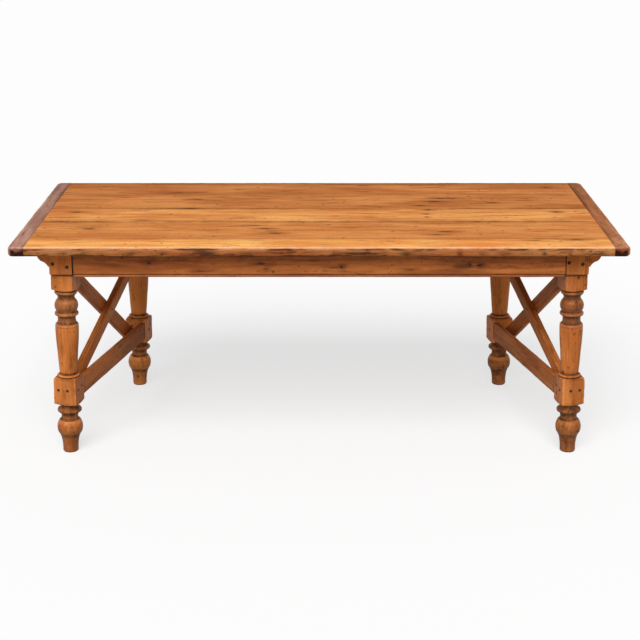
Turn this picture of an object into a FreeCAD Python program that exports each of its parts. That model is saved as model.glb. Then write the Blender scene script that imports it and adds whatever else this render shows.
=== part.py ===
import FreeCAD, Part
import math
import os
import re
import Sketcher

# Folding dining table: a plank top with breadboard ends on a beaded apron box,
# carried by two turned leg frames that hinge at their tops and fold in flat below the box.
# X runs along the table, Y from the front edge to the back edge, Z up, origin on the floor.

SIZES = {
    # The whole table
    "table_height": 760,
    "top_length": 2004,
    "top_depth": 1000,
    "top_thickness": 30,
    # Boards of the top
    "board_seam": 0.4,
    "top_arris_round": 6,
    "under_arris_round": 5,
    "tongue_length": 18,
    "tongue_thickness": 10,
    "tongue_inset": 14,
    "spline_width": 16,
    "spline_thickness": 6,
    "fit_clearance": 0.2,
    # Breadboard ends
    "breadboard_width": 53,
    "corner_round": 24,
    "breadboard_peg_diameter": 8,
    "breadboard_peg_length": 24,
    "breadboard_peg_setback": 9,
    # Apron box
    "apron_setback": 100,
    "apron_height": 96,
    "apron_thickness": 22,
    "bead_diameter": 8,
    "quirk_width": 2,
    "quirk_depth": 3.5,
    "block_size": 75,
    "block_height": 87,
    "block_end_setback": 115,
    "left_shoulder_gap": 4,
    "right_shoulder_gap": 1,
    "apron_tenon_length": 72,
    "rail_tenon_length": 30,
    "tenon_thickness": 10,
    "tenon_shoulder": 15,
    "apron_peg_diameter": 13,
    "apron_peg_length": 22,
    "apron_peg_drop": 54,
    "peg_stand": 0.6,
    # Moulded cleats under the ends of the top
    "cleat_projection": 42,
    "cleat_height": 60,
    "cleat_fillet": 6,
    "cleat_nail_diameter": 5,
    "cleat_nail_head": 10,
    "cleat_nail_length": 45,
    # Cross members and glue blocks under the top
    "hinge_rail_width": 66,
    "bearer_width": 30,
    "bearer_height": 60,
    "glue_block_size": 18,
    "glue_block_length": 80,
    # Leg frames
    "toe_angle": 13.1,
    "leg_lean": 1.1,
    "leg_trim": 3,
    "leg_end_inset": 43,
    "leg_face_inset": 56.2,
    "upper_block_size": 76,
    "lower_block_size": 80,
    "upper_block_height": 54,
    "lower_block_top": 271,
    "lower_block_base": 176,
    "pommel_height": 9,
    "turning_radius": 43.3,
    "top_rail_thickness": 40,
    "top_rail_height": 24,
    "stretcher_thickness": 20,
    "stretcher_height": 65,
    "stretcher_top": 260,
    "stretcher_face_setback": 2,
    "stretcher_chamfer": 1.5,
    "frame_tenon_length": 60,
    "frame_tenon_thickness": 12,
    "frame_tenon_shoulder": 8,
    "frame_peg_diameter": 10.5,
    "frame_peg_length": 40,
    "face_peg_length": 16,
    # Braces: the outer one falls to the back, the inner one rises to the back; their middle lines
    # meet the legs' faces at heights set from the legs' tops and the stretcher's top
    "outer_brace_thickness": 16,
    "outer_brace_width": 54,
    "outer_brace_head_rise": 2.5,
    "outer_brace_foot_drop": 64.1,
    "inner_brace_thickness": 22,
    "inner_brace_width": 46,
    "inner_brace_head_drop": 102.1,
    "inner_brace_foot_drop": 14,
    "brace_dowel_diameter": 8,
    "brace_dowel_length": 46,
    "rivet_diameter": 6,
    "rivet_head_diameter": 12,
    "rivet_head_height": 2.5,
    # Hinges
    "leaf_thickness": 5,
    "leaf_length": 72,
    "leaf_outer_reach": 37,
    "leaf_inner_reach": 36,
    "pin_offset": 50,
    "pin_diameter": 6,
    "pin_clearance": 0.05,
    "pin_overhang": 2,
    "knuckle_diameter": 13,
    "knuckle_length": 19,
    "knuckle_gap": 0.5,
    "knuckle_start": 17,
    "back_hinge_shift": 12,
    "lug_diameter": 9,
    "hinge_screw_diameter": 5,
    "hinge_screw_head": 9,
    "hinge_screw_length": 26,
    # Overrun of every cut
    "overrun": 5,
}

# Levels worked out from the sizes
TOP_UNDER = "(table_height - top_thickness)"
BLOCK_UNDER = "(" + TOP_UNDER + " - block_height)"
HINGE_LEVEL = "(" + BLOCK_UNDER + " - leaf_thickness)"
LEG_TOP = "(" + HINGE_LEVEL + " - leaf_thickness)"
RAIL_UNDER = "(" + LEG_TOP + " - top_rail_height)"
APRON_UNDER = "(" + TOP_UNDER + " - apron_height)"
TOP_MIDDLE = "(table_height - top_thickness / 2)"
# Distances from the middle of the table
APRON_FACE = "(top_depth / 2 - apron_setback)"
APRON_INSIDE = "(" + APRON_FACE + " - apron_thickness)"
BLOCK_FACE_X = "(top_length / 2 - block_end_setback)"
BLOCK_INSIDE_X = "(" + BLOCK_FACE_X + " - block_size)"
BLOCK_INSIDE_Y = "(" + APRON_FACE + " - block_size)"
FIELD_END = "(top_length / 2 - breadboard_width)"
# Distances from the middle of a leg frame, along it
LEG_AT = "((" + APRON_FACE + " - leg_face_inset) / cos(toe_angle))"
FRAME_CENTRE = "(" + BLOCK_FACE_X + " - leg_end_inset - " + LEG_AT + " * sin(toe_angle))"
UPPER_FACE = "(" + LEG_AT + " - upper_block_size / 2)"
LOWER_FACE = "(" + LEG_AT + " - lower_block_size / 2)"
STRETCHER_INSIDE = "(lower_block_size / 2 - stretcher_face_setback)"
STRETCHER_OUTSIDE = "(" + STRETCHER_INSIDE + " - stretcher_thickness)"
STRETCHER_UNDER = "(stretcher_top - stretcher_height)"
STRETCHER_MIDDLE = "(stretcher_top - stretcher_height / 2)"
BRACES_MEET = "(" + STRETCHER_OUTSIDE + " - inner_brace_thickness)"
BRACES_OUTSIDE = "(" + BRACES_MEET + " - outer_brace_thickness)"
UPPER_BLOCK_BASE = "(" + LEG_TOP + " - upper_block_height)"

# Widths of the boards, front to back, as shares of the top's depth; the back board takes the rest
BOARD_SHARES = (0.112, 0.249, 0.192, 0.238)
# Places along the apron box, as shares of its half length
GLUE_BLOCK_SHARES = (-0.62, -0.16, 0.16, 0.62)
BEARER_SHARE = 0.37
# Places of each board's two pegs, as shares of its width
BOARD_PEG_SHARES = (0.25, 0.75)
# Pegs in a corner block's face, as shares of its size: outwards from its middle, and up
APRON_PEG_SHARES = {"left": ((0.34, 0.05), (-0.28, -0.10)), "right": ((0.21, 0.03), (-0.39, 0.10))}
# Pegs in a lower block's inner face and outer face, as shares of its size: along, and up from the
# stretcher's middle
TENON_PEG_SHARES = {"front": ((-0.175, 0.0), (0.225, 0.10)), "back": ((0.0, -0.07),)}
FACE_PEG_SHARES = ((-0.27, 0.03), (0.13, 0.03))
# Section of a cleat, as shares of its projection and height, with the bulge of the next run
CLEAT_SHARES = ((0.07, 0.0, 0.12), (0.64, 0.33, -0.10))
CLEAT_NAIL_SHARES = (0.57, 0.30)
# Screws of a leaf, as shares of its length and of its outer reach
SCREW_ALONG_SHARES = (-0.36, 0.08)
SCREW_ACROSS_SHARES = (-0.62, 0.50)
# How much of a brace's head dowel stays in the outer brace, and where the bulb meets the inner one
HEAD_DOWEL_SHARE = 0.6
BULB_SHARE = 0.9

# Bulge of an arc as a share of its chord
QUARTER_SHARE = math.tan(math.radians(22.5)) / 2

# Turned stretches of a leg, as shares: height along the stretch, radius, bulge of the next run
FOOT_SHARES = (
    (0.000, 0.55, 0.0), (0.018, 0.61, -0.03), (0.270, 0.69, -0.06), (0.400, 0.92, 0.115),
    (0.640, 0.86, 0.10), (0.668, 0.72, -0.15), (0.800, 0.75, 0.0), (0.818, 0.86, 0.31),
    (0.895, 0.86, 0.0), (0.902, 0.76, -0.13), (0.985, 0.76, 0.0), (1.000, 0.83, 0.0),
)
SHAFT_SHARES = (
    (0.000, 0.83, 0.0), (0.003, 0.79, 0.0), (0.005, 0.80, 0.45), (0.0276, 0.80, 0.0),
    (0.032, 0.71, -0.15), (0.048, 0.676, 0.005), (0.300, 0.80, 0.01), (0.549, 0.91, 0.02),
    (0.585, 0.90, 0.20), (0.618, 0.76, -0.07), (0.695, 0.71, 0.0), (0.706, 0.83, 0.36),
    (0.745, 0.83, -0.10), (0.762, 0.80, 0.175), (0.886, 0.72, 0.0), (0.893, 0.68, -0.10),
    (0.925, 0.68, 0.0), (0.946, 0.78, 0.0), (0.950, 0.83, 0.22), (0.989, 0.83, 0.0),
    (0.992, 0.76, 0.0), (1.000, 0.80, 0.0),
)
CORE_SHARE = 0.80
POMMEL_REACH_SHARE = 1.5
POMMEL_DROP_SHARE = 1.12
POMMEL_BULGE_SHARE = 0.12

SIDES = ("left", "right")
ENDS = ("front", "back")

doc = FreeCAD.newDocument("FoldingDiningTable")
NODES = {}


def make_sheet():
    """One row for each driving size: its name and its value in millimetres or degrees."""
    sheet = doc.addObject("Spreadsheet::Sheet", "Sizes")
    for row, (name, value) in enumerate(SIZES.items(), start=1):
        sheet.set("A%d" % row, name)
        sheet.set("B%d" % row, str(value))
        sheet.setAlias("B%d" % row, name)
    doc.recompute()
    return sheet


def bound(text):
    """An expression with each size's name pointed at the sheet."""
    def at_sheet(match):
        word = match.group()
        return "Sizes." + word if word in SIZES else word

    return re.sub(r"[a-z_]+", at_sheet, str(text))


def number(text):
    """The present value of an expression in the sizes."""
    value = doc.Sizes.evalExpression(re.sub(r"Sizes\.", "", bound(text)))
    return float(getattr(value, "Value", value))


def minus(text):
    return "-(" + str(text) + ")"


def plus(first, second):
    return "(" + str(first) + ") + (" + str(second) + ")"


def times(share, text):
    return repr(float(share)) + " * (" + str(text) + ")"


def finish(label, thing):
    """Names a finished sub-part and keeps it for the files."""
    thing.Label = label
    NODES[label] = thing
    return thing


# Sketches, pads and solids

def origin_plane(body, role):
    return [f for f in body.Origin.OriginFeatures if f.Role == role][0]


def arc_centre(first, second, bulge):
    """Centre and radius of the arc that leaves the chord to its right by bulge times its length."""
    chord = second.sub(first)
    radius = chord.Length * (1 + 4 * bulge * bulge) / (8 * abs(bulge))
    rise = bulge * chord.Length
    right = FreeCAD.Vector(chord.y, -chord.x, 0).normalize()
    middle = (first + second) * 0.5
    depth = radius - abs(rise)
    return middle - right * (math.copysign(depth, bulge)), radius


def add_loop(sketch, points):
    """A closed loop of straight runs and arcs; a point is (across, up, bulge of the next run)."""
    spots = [FreeCAD.Vector(number(p[0]), number(p[1]), 0) for p in points]
    count = len(points)
    first_geo = sketch.GeometryCount
    ends = []
    for i in range(count):
        here, there = spots[i], spots[(i + 1) % count]
        bulge = points[i][2] if len(points[i]) > 2 else 0.0
        if abs(bulge) < 1e-9:
            sketch.addGeometry(Part.LineSegment(here, there), False)
            ends.append((1, 2))
            continue
        centre, radius = arc_centre(here, there, bulge)
        start, stop = (here, there) if bulge > 0 else (there, here)
        a0 = math.atan2(start.y - centre.y, start.x - centre.x)
        a1 = math.atan2(stop.y - centre.y, stop.x - centre.x)
        circle = Part.Circle(centre, FreeCAD.Vector(0, 0, 1), radius)
        sketch.addGeometry(Part.ArcOfCircle(circle, a0, a1 if a1 > a0 else a1 + 2 * math.pi), False)
        ends.append((1, 2) if bulge > 0 else (2, 1))
    for i in range(count):
        after = (i + 1) % count
        sketch.addConstraint(Sketcher.Constraint(
            "Coincident", first_geo + i, ends[i][1], first_geo + after, ends[after][0]))
    for i in range(count):
        for kind, axis in (("DistanceX", 0), ("DistanceY", 1)):
            value = spots[i].x if axis == 0 else spots[i].y
            index = sketch.addConstraint(Sketcher.Constraint(
                kind, -1, 1, first_geo + i, ends[i][0], value))
            sketch.setExpression("Constraints[%d]" % index, bound(points[i][axis]))
        bulge = points[i][2] if len(points[i]) > 2 else 0.0
        if abs(bulge) > 1e-9:
            after = points[(i + 1) % count]
            run = (after[0], points[i][0], after[1], points[i][1])
            chord = "sqrt((%s - (%s))^2 + (%s - (%s))^2)" % run
            factor = (1 + 4 * bulge * bulge) / (8 * abs(bulge))
            index = sketch.addConstraint(Sketcher.Constraint(
                "Radius", first_geo + i, arc_centre(spots[i], spots[(i + 1) % count], bulge)[1]))
            sketch.setExpression("Constraints[%d]" % index, bound(times(factor, chord)))


def new_sketch(body, name, role, loops, offset="0"):
    sketch = body.newObject("Sketcher::SketchObject", name)
    sketch.AttachmentSupport = [(origin_plane(body, role), "")]
    sketch.MapMode = "FlatFace"
    sketch.setExpression("AttachmentOffset.Base.z", bound(offset))
    for loop in loops:
        add_loop(sketch, loop)
    doc.recompute()
    return sketch


def new_body(name, placement=None):
    body = doc.addObject("PartDesign::Body", name)
    if placement is not None:
        body.Placement = placement
    return body


def pad(body, name, role, loops, length, offset="0"):
    """A straight solid from loops on one of the body's own planes, away from offset."""
    sketch = new_sketch(body, name + "_outline", role, loops, offset)
    feature = body.newObject("PartDesign::Pad", name)
    feature.Profile = sketch
    feature.setExpression("Length", bound(length))
    doc.recompute()
    body.Tip = feature
    return feature


def pocket(body, name, role, loops, length, offset="0"):
    """A straight cut, the way the plane's normal points, checked by the volume it takes away."""
    before = body.Shape.Volume
    sketch = new_sketch(body, name + "_outline", role, loops, offset)
    feature = body.newObject("PartDesign::Pocket", name)
    feature.Profile = sketch
    feature.Reversed = True
    feature.setExpression("Length", bound(length))
    doc.recompute()
    body.Tip = feature
    if not feature.Shape.Volume < before:
        raise ValueError(name + " takes nothing away")
    return feature


def rectangle(x0, x1, y0, y1):
    return [(x0, y0), (x1, y0), (x1, y1), (x0, y1)]


def box(name, x, y, z, placement=None):
    """A block between two values on each axis, in its frame's own directions."""
    solid = doc.addObject("Part::Box", name)
    for prop, (low, high) in (("Length", x), ("Width", y), ("Height", z)):
        solid.setExpression(prop, bound(plus(high, minus(low))))
    corner = FreeCAD.Vector(number(x[0]), number(y[0]), number(z[0]))
    local = FreeCAD.Placement(corner, FreeCAD.Rotation())
    solid.Placement = placement.multiply(local) if placement is not None else local
    return solid


def rod(name, radius, length, start, direction, placement=None, head=None):
    """A round bar from start along direction; head gives a larger round end (radius, length)."""
    turn = FreeCAD.Rotation(FreeCAD.Vector(0, 0, 1), direction)
    local = FreeCAD.Placement(FreeCAD.Vector(*[number(c) for c in start]), turn)
    where = placement.multiply(local) if placement is not None else local
    bar = doc.addObject("Part::Cylinder", name)
    bar.setExpression("Radius", bound(radius))
    bar.setExpression("Height", bound(length))
    bar.Placement = where
    if head is None:
        return bar
    cap = doc.addObject("Part::Cone", name + "_head")
    cap.setExpression("Radius1", bound(head[0]))
    cap.setExpression("Radius2", bound(radius))
    cap.setExpression("Height", bound(head[1]))
    cap.Placement = where
    return join(name + "_whole", [bar, cap])


def join(name, things):
    whole = doc.addObject("Part::MultiFuse", name)
    whole.Shapes = things
    doc.recompute()
    return whole


def group(name, things):
    """Several separate solids kept in one sub-part."""
    whole = doc.addObject("Part::Compound", name)
    whole.Links = things
    doc.recompute()
    return whole


def cut(name, base, tools):
    """The base with room made for what is let into it."""
    result = doc.addObject("Part::Cut", name)
    result.Base = base
    result.Tool = tools[0] if len(tools) == 1 else group(name + "_tools", tools)
    doc.recompute()
    return result


# Frames of reference

def hand(side):
    return -1 if side == "left" else 1


def frame_placement(side):
    """Leg frame directions: X in towards the middle of the table, Z up; Y to the back on the left
    and to the front on the right."""
    toe = number("toe_angle")
    turn = -toe if side == "left" else 180 + toe
    place = FreeCAD.Vector(hand(side) * number(FRAME_CENTRE), 0, 0)
    return FreeCAD.Placement(place, FreeCAD.Rotation(FreeCAD.Vector(0, 0, 1), turn))


def leaning_placement(side):
    """The leg frame's directions leant outwards about the inner edge of the legs' tops, so that the
    weight on the table holds the frame open."""
    pivot = FreeCAD.Vector(number("upper_block_size / 2"), 0, number(LEG_TOP))
    lean = FreeCAD.Rotation(FreeCAD.Vector(0, 1, 0), number("leg_lean"))
    return frame_placement(side).multiply(FreeCAD.Placement(FreeCAD.Vector(), lean, pivot))


def along(side, text):
    """A distance towards the back of the table, in the leg frame's own direction."""
    return str(text) if side == "left" else minus(text)


def frame_box(side, name, x, y, z):
    ys = y if side == "left" else (minus(y[1]), minus(y[0]))
    return box(name, x, ys, z, frame_placement(side))


# The top

def board_edges():
    """Front and back of each board, from the front edge of the table."""
    edges = ["-top_depth / 2"]
    for index in range(len(BOARD_SHARES)):
        edges.append(times(round(sum(BOARD_SHARES[:index + 1]) - 0.5, 6), "top_depth"))
    edges.append("top_depth / 2")
    return edges


def board_section(front, back, outer_front, outer_back):
    """Section of one board: rounded where it is the table's edge, grooved for a spline elsewhere."""
    low, high = TOP_UNDER, "table_height"
    groove = plus("spline_width / 2", "fit_clearance")
    groove_low = plus(TOP_MIDDLE, "-spline_thickness / 2")
    groove_high = plus(TOP_MIDDLE, "spline_thickness / 2")
    points = []
    if outer_front:
        points += [(front, plus(low, "under_arris_round"), QUARTER_SHARE),
                   (plus(front, "under_arris_round"), low)]
    else:
        points += [(front, low)]
    if outer_back:
        points += [(plus(back, "-under_arris_round"), low, QUARTER_SHARE),
                   (back, plus(low, "under_arris_round")),
                   (back, plus(high, "-top_arris_round"), QUARTER_SHARE),
                   (plus(back, "-top_arris_round"), high)]
    else:
        bottom = plus(back, minus(groove))
        points += [(back, low), (back, groove_low), (bottom, groove_low), (bottom, groove_high),
                   (back, groove_high), (back, high)]
    if outer_front:
        points += [(plus(front, "top_arris_round"), high, QUARTER_SHARE),
                   (front, plus(high, "-top_arris_round"))]
    else:
        bottom = plus(front, groove)
        points += [(front, high), (front, groove_high), (bottom, groove_high), (bottom, groove_low),
                   (front, groove_low)]
    return points


def tongue_levels():
    """Underside and top of the tongues and of the grooves that take them."""
    return plus(TOP_MIDDLE, "-tongue_thickness / 2"), plus(TOP_MIDDLE, "tongue_thickness / 2")


def make_top_board(index, edges, pegs):
    """A long board with a tongue at each end for the breadboard's groove."""
    name = "top_board_%d" % (index + 1)
    first, last = index == 0, index == len(edges) - 2
    front = edges[index] if first else plus(edges[index], "board_seam / 2")
    back = edges[index + 1] if last else plus(edges[index + 1], "-board_seam / 2")
    body = new_body(name + "_body")
    section = board_section(front, back, first, last)
    pad(body, name + "_field", "YZ_Plane", [section], times(2, FIELD_END), minus(FIELD_END))
    tongue_end = plus(FIELD_END, "tongue_length")
    tongue = rectangle(plus(front, "tongue_inset"), plus(back, "-tongue_inset"), *tongue_levels())
    pad(body, name + "_tongues", "YZ_Plane", [tongue], times(2, tongue_end), minus(tongue_end))
    finish(name, cut(name, body, [pegs]))


def make_splines(edges):
    """Loose strips let into the long edges of the boards."""
    strips = []
    levels = (plus(TOP_MIDDLE, "-spline_thickness / 2"), plus(TOP_MIDDLE, "spline_thickness / 2"))
    for index, edge in enumerate(edges[1:-1], start=1):
        width = (plus(edge, "-spline_width / 2"), plus(edge, "spline_width / 2"))
        strips.append(box("board_spline_%d" % index, (minus(FIELD_END), FIELD_END), width, levels))
    finish("board_splines", group("board_splines", strips))


def peg_rows(edges):
    """Two pegs for each board's tongue, well in from its sides."""
    rows = []
    for front, back in zip(edges[:-1], edges[1:]):
        for share in BOARD_PEG_SHARES:
            rows.append(plus(times(1 - share, front), times(share, back)))
    return rows


def make_breadboard_pegs(edges):
    """Short pegs set from below through the groove and the tongue."""
    up = FreeCAD.Vector(0, 0, 1)
    pegs = []
    for side in SIDES:
        across = times(hand(side), plus(FIELD_END, "breadboard_peg_setback"))
        for index, row in enumerate(peg_rows(edges)):
            pegs.append(rod("breadboard_peg_%s_%d" % (side, index), "breadboard_peg_diameter / 2",
                            "breadboard_peg_length", (across, row, TOP_UNDER), up))
    return finish("breadboard_pegs", group("breadboard_pegs", pegs))


def round_edges(body, name, source, level, radius, keep_x):
    """Rounds the outer edges of a flat piece at one level, leaving the edge at keep_x sharp."""
    names = []
    for index, edge in enumerate(source.Shape.Edges, start=1):
        box_of = edge.BoundBox
        flat = abs(box_of.ZMin - level) < 1e-6 and abs(box_of.ZMax - level) < 1e-6
        inner = abs(box_of.XMin - keep_x) < 1e-6 and abs(box_of.XMax - keep_x) < 1e-6
        if flat and not inner:
            names.append("Edge%d" % index)
    feature = body.newObject("PartDesign::Fillet", name)
    feature.Base = (source, names)
    feature.setExpression("Radius", bound(radius))
    doc.recompute()
    body.Tip = feature
    return feature


def make_breadboard(side, pegs):
    """A cross board that caps the ends of the long boards; its outer corners are round in plan."""
    name = "breadboard_%s" % side
    s = hand(side)
    inner, outer = times(s, FIELD_END), times(s, "top_length / 2")
    turned_in = times(s, "top_length / 2 - corner_round")
    low, high = "-top_depth / 2", "top_depth / 2"
    bulge = QUARTER_SHARE * s
    plan = [(inner, low), (turned_in, low, bulge), (outer, plus(low, "corner_round")),
            (outer, plus(high, "-corner_round"), bulge), (turned_in, high), (inner, high)]
    body = new_body(name + "_body")
    slab = pad(body, name + "_slab", "XY_Plane", [plan], "top_thickness", TOP_UNDER)
    slab = round_edges(body, name + "_top_arris", slab, number("table_height"), "top_arris_round",
                       number(inner))
    slab = round_edges(body, name + "_under_arris", slab, number(TOP_UNDER), "under_arris_round",
                       number(inner))
    depth = plus("tongue_length", "fit_clearance")
    groove = rectangle(plus(low, "tongue_inset"), plus(high, "-tongue_inset"), *tongue_levels())
    start = FIELD_END if side == "right" else minus(plus(FIELD_END, depth))
    pocket(body, name + "_groove", "YZ_Plane", [groove], depth, start)
    finish(name, cut(name, body, [pegs]))


# The apron box

def make_apron(end):
    """A rail with a bead and quirk along its lower outer edge and a tenon at each end."""
    name = "apron_%s" % end
    out = -1 if end == "front" else 1
    face = times(out, APRON_FACE)

    def inwards(depth):
        return plus(face, times(-out, depth))

    low, high = APRON_UNDER, TOP_UNDER
    bead_top = plus(low, "bead_diameter")
    quirk_top = plus(bead_top, "quirk_width")
    half = "bead_diameter / 2"
    bulge = QUARTER_SHARE * out
    section = [(inwards("apron_thickness"), low), (inwards(half), low, bulge),
               (face, plus(low, half), bulge), (inwards(half), bead_top),
               (inwards("quirk_depth + bead_diameter / 2"), bead_top),
               (inwards("quirk_depth + bead_diameter / 2"), quirk_top),
               (face, quirk_top), (face, high), (inwards("apron_thickness"), high)]
    left_end = minus(plus(BLOCK_INSIDE_X, "-left_shoulder_gap"))
    right_end = plus(BLOCK_INSIDE_X, "-right_shoulder_gap")
    body = new_body(name + "_body")
    pad(body, name + "_rail", "YZ_Plane", [section], plus(right_end, minus(left_end)), left_end)
    middle = "(apron_thickness - tenon_thickness) / 2"
    tenon = rectangle(*sorted_pair(inwards(middle), inwards(plus(middle, "tenon_thickness"))),
                      plus(BLOCK_UNDER, "tenon_shoulder"), plus(high, "-tenon_shoulder"))
    reach = plus(BLOCK_INSIDE_X, "apron_tenon_length")
    pad(body, name + "_tenons", "YZ_Plane", [tenon], times(2, reach), minus(reach))
    return name, body


def sorted_pair(first, second):
    return (first, second) if number(first) < number(second) else (second, first)


def make_end_rail(side):
    """A plain rail between two corner blocks, tenoned into both."""
    name = "end_rail_%s" % side
    s = hand(side)
    outer = times(s, BLOCK_FACE_X)
    inner = times(s, plus(BLOCK_FACE_X, "-apron_thickness"))
    body = new_body(name + "_body")
    section = rectangle(*sorted_pair(outer, inner), BLOCK_UNDER, TOP_UNDER)
    pad(body, name + "_rail", "XZ_Plane", [section], times(2, BLOCK_INSIDE_Y), minus(BLOCK_INSIDE_Y))
    middle = "(apron_thickness - tenon_thickness) / 2"
    tenon = rectangle(*sorted_pair(times(s, plus(BLOCK_FACE_X, minus(middle))),
                                   times(s, plus(BLOCK_FACE_X, minus(plus(middle, "tenon_thickness"))))),
                      plus(BLOCK_UNDER, "tenon_shoulder"), plus(TOP_UNDER, "-tenon_shoulder"))
    reach = plus(BLOCK_INSIDE_Y, "rail_tenon_length")
    pad(body, name + "_tenons", "XZ_Plane", [tenon], times(2, reach), minus(reach))
    return name, body


def make_apron_pegs():
    """Two pegs in each corner block's front or back face, none of them quite level."""
    pegs = []
    centre = "(" + BLOCK_FACE_X + " - block_size / 2)"
    for side in SIDES:
        for end in ENDS:
            out = -1 if end == "front" else 1
            inward = FreeCAD.Vector(0, -out, 0)
            face = times(out, plus(APRON_FACE, "peg_stand"))
            for index, (outwards, up) in enumerate(APRON_PEG_SHARES[side]):
                across = times(hand(side), plus(centre, times(outwards, "block_size")))
                level = plus(TOP_UNDER, plus("-apron_peg_drop", times(up, "block_size")))
                pegs.append(rod("apron_peg_%s_%s_%d" % (side, end, index), "apron_peg_diameter / 2",
                                "apron_peg_length", (across, face, level), inward))
    return finish("apron_pegs", group("apron_pegs", pegs))


def make_corner_block(side, end, tools):
    """The square post between apron and end rail, cut off where the hinged leg begins."""
    name = "corner_block_%s_%s" % (end, side)
    xs = sorted_pair(times(hand(side), BLOCK_FACE_X), times(hand(side), BLOCK_INSIDE_X))
    out = -1 if end == "front" else 1
    ys = sorted_pair(times(out, APRON_FACE), times(out, BLOCK_INSIDE_Y))
    post = box(name + "_post", xs, ys, (BLOCK_UNDER, TOP_UNDER))
    finish(name, cut(name, post, tools))


def make_cleat(side, nails):
    """A moulded cleat along the end rail: a round below, a hollow above and a small square edge."""
    name = "end_cleat_%s" % side
    s = hand(side)
    base = times(s, BLOCK_FACE_X)

    def out(text):
        return plus(base, times(s, text))

    low = plus(TOP_UNDER, "-cleat_height")
    profile = [(base, TOP_UNDER), (base, low)]
    for across, up, bulge in CLEAT_SHARES:
        level = plus(low, times(up, "cleat_height"))
        profile.append((out(times(across, "cleat_projection")), level, bulge * s))
    profile += [(out("cleat_projection"), plus(TOP_UNDER, "-cleat_fillet")),
                (out("cleat_projection"), TOP_UNDER)]
    body = new_body(name + "_body")
    pad(body, name + "_moulding", "XZ_Plane", [profile], times(2, APRON_FACE), minus(APRON_FACE))
    finish(name, cut(name, body, [nails]))


def cleat_nail_spots():
    """Three nails along each cleat: into both corner blocks and the end rail."""
    near = plus(APRON_FACE, "-block_size / 2")
    return (minus(near), "0", near)


def make_cleat_nails():
    """Nails driven level through the thin of each cleat into what stands behind it."""
    nails = []
    across, up = CLEAT_NAIL_SHARES
    level = plus(plus(TOP_UNDER, "-cleat_height"), times(up, "cleat_height"))
    head = ("cleat_nail_head / 2", "cleat_nail_diameter / 2")
    for side in SIDES:
        s = hand(side)
        inward = FreeCAD.Vector(-s, 0, 0)
        start = times(s, plus(BLOCK_FACE_X, times(across, "cleat_projection")))
        for index, spot in enumerate(cleat_nail_spots()):
            nails.append(rod("cleat_nail_%s_%d" % (side, index), "cleat_nail_diameter / 2",
                             "cleat_nail_length", (start, spot, level), inward, head=head))
    return finish("cleat_nails", group("cleat_nails", nails))


def frame_line(side, y, shift):
    """Plan position of the leg frame's line moved inwards by shift, at a distance y to the back."""
    return times(hand(side), plus(FRAME_CENTRE, plus(minus("(%s) * tan(toe_angle)" % y),
                                                          minus("(%s) / cos(toe_angle)" % shift))))


def make_hinge_rail(side, screws):
    """A stout cross rail over the leg frame, from the front corner block to the back apron."""
    name = "hinge_rail_%s" % side
    front, back = minus(BLOCK_INSIDE_Y), APRON_INSIDE
    half = "hinge_rail_width / 2"
    inner_x = times(hand(side), plus(BLOCK_FACE_X, "-apron_thickness"))
    # where the rail's outer side leaves the end rail
    leaves = "(%s + hinge_rail_width / 2 / cos(toe_angle) - (%s)) / tan(toe_angle)" % (
        FRAME_CENTRE, plus(BLOCK_FACE_X, "-apron_thickness"))
    outline = [(frame_line(side, front, half), front), (frame_line(side, back, half), back),
               (frame_line(side, back, minus(half)), back)]
    if number(leaves) > number(front):
        outline += [(inner_x, leaves), (inner_x, front)]
    else:
        outline += [(frame_line(side, front, minus(half)), front)]
    body = new_body(name + "_body")
    pad(body, name + "_beam", "XY_Plane", [outline], "block_height", BLOCK_UNDER)
    finish(name, cut(name, body, screws))


def make_bearers():
    """Two plain cross bearers that hold the boards flat at the middle."""
    for side in SIDES:
        s = hand(side)
        near = times(BEARER_SHARE, BLOCK_INSIDE_X)
        xs = sorted_pair(times(s, near), times(s, plus(near, "bearer_width")))
        name = "cross_bearer_%s" % side
        finish(name, box(name, xs, (minus(APRON_INSIDE), APRON_INSIDE),
                         (plus(TOP_UNDER, "-bearer_height"), TOP_UNDER)))


def make_glue_blocks():
    """Square blocks glued into the corner of each apron and the top."""
    blocks = []
    for end in ENDS:
        out = -1 if end == "front" else 1
        ys = sorted_pair(times(out, APRON_INSIDE), times(out, plus(APRON_INSIDE, "-glue_block_size")))
        for index, share in enumerate(GLUE_BLOCK_SHARES):
            middle = times(share, BLOCK_INSIDE_X)
            xs = (plus(middle, "-glue_block_length / 2"), plus(middle, "glue_block_length / 2"))
            blocks.append(box("glue_block_%s_%d" % (end, index), xs, ys,
                              (plus(TOP_UNDER, "-glue_block_size"), TOP_UNDER)))
    finish("glue_blocks", group("glue_blocks", blocks))


# Hinges

def hinge_middle(side, end):
    """Middle of a hinge along its leg frame, and the way towards the frame's middle."""
    out = -1 if end == "front" else 1
    shift = "0" if end == "front" else "back_hinge_shift"
    return times(out, plus(LEG_AT, minus(shift))), -out


def hinge_span(side, end, start, stop):
    """A stretch of the hinge, measured from its middle towards the frame's middle."""
    middle, way = hinge_middle(side, end)
    return sorted_pair(plus(middle, times(way, start)), plus(middle, times(way, stop)))


def knuckle_spans():
    """The three knuckles of a hinge: fixed, moving, fixed."""
    spans = []
    start = "knuckle_start - leaf_length / 2"
    for index in range(3):
        begin = plus(start, times(index, "knuckle_length + knuckle_gap"))
        spans.append((begin, plus(begin, "knuckle_length")))
    return spans


def frame_rod(side, name, radius, length, start, direction, head=None, leaning=False):
    """A round bar placed in the leg frame's own directions, with Y to the back of the table."""
    s = 1 if side == "left" else -1
    spot = (start[0], along(side, start[1]), start[2])
    way = FreeCAD.Vector(direction[0], direction[1] * s, direction[2])
    place = leaning_placement(side) if leaning else frame_placement(side)
    return rod(name, radius, length, spot, way, place, head)


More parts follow.
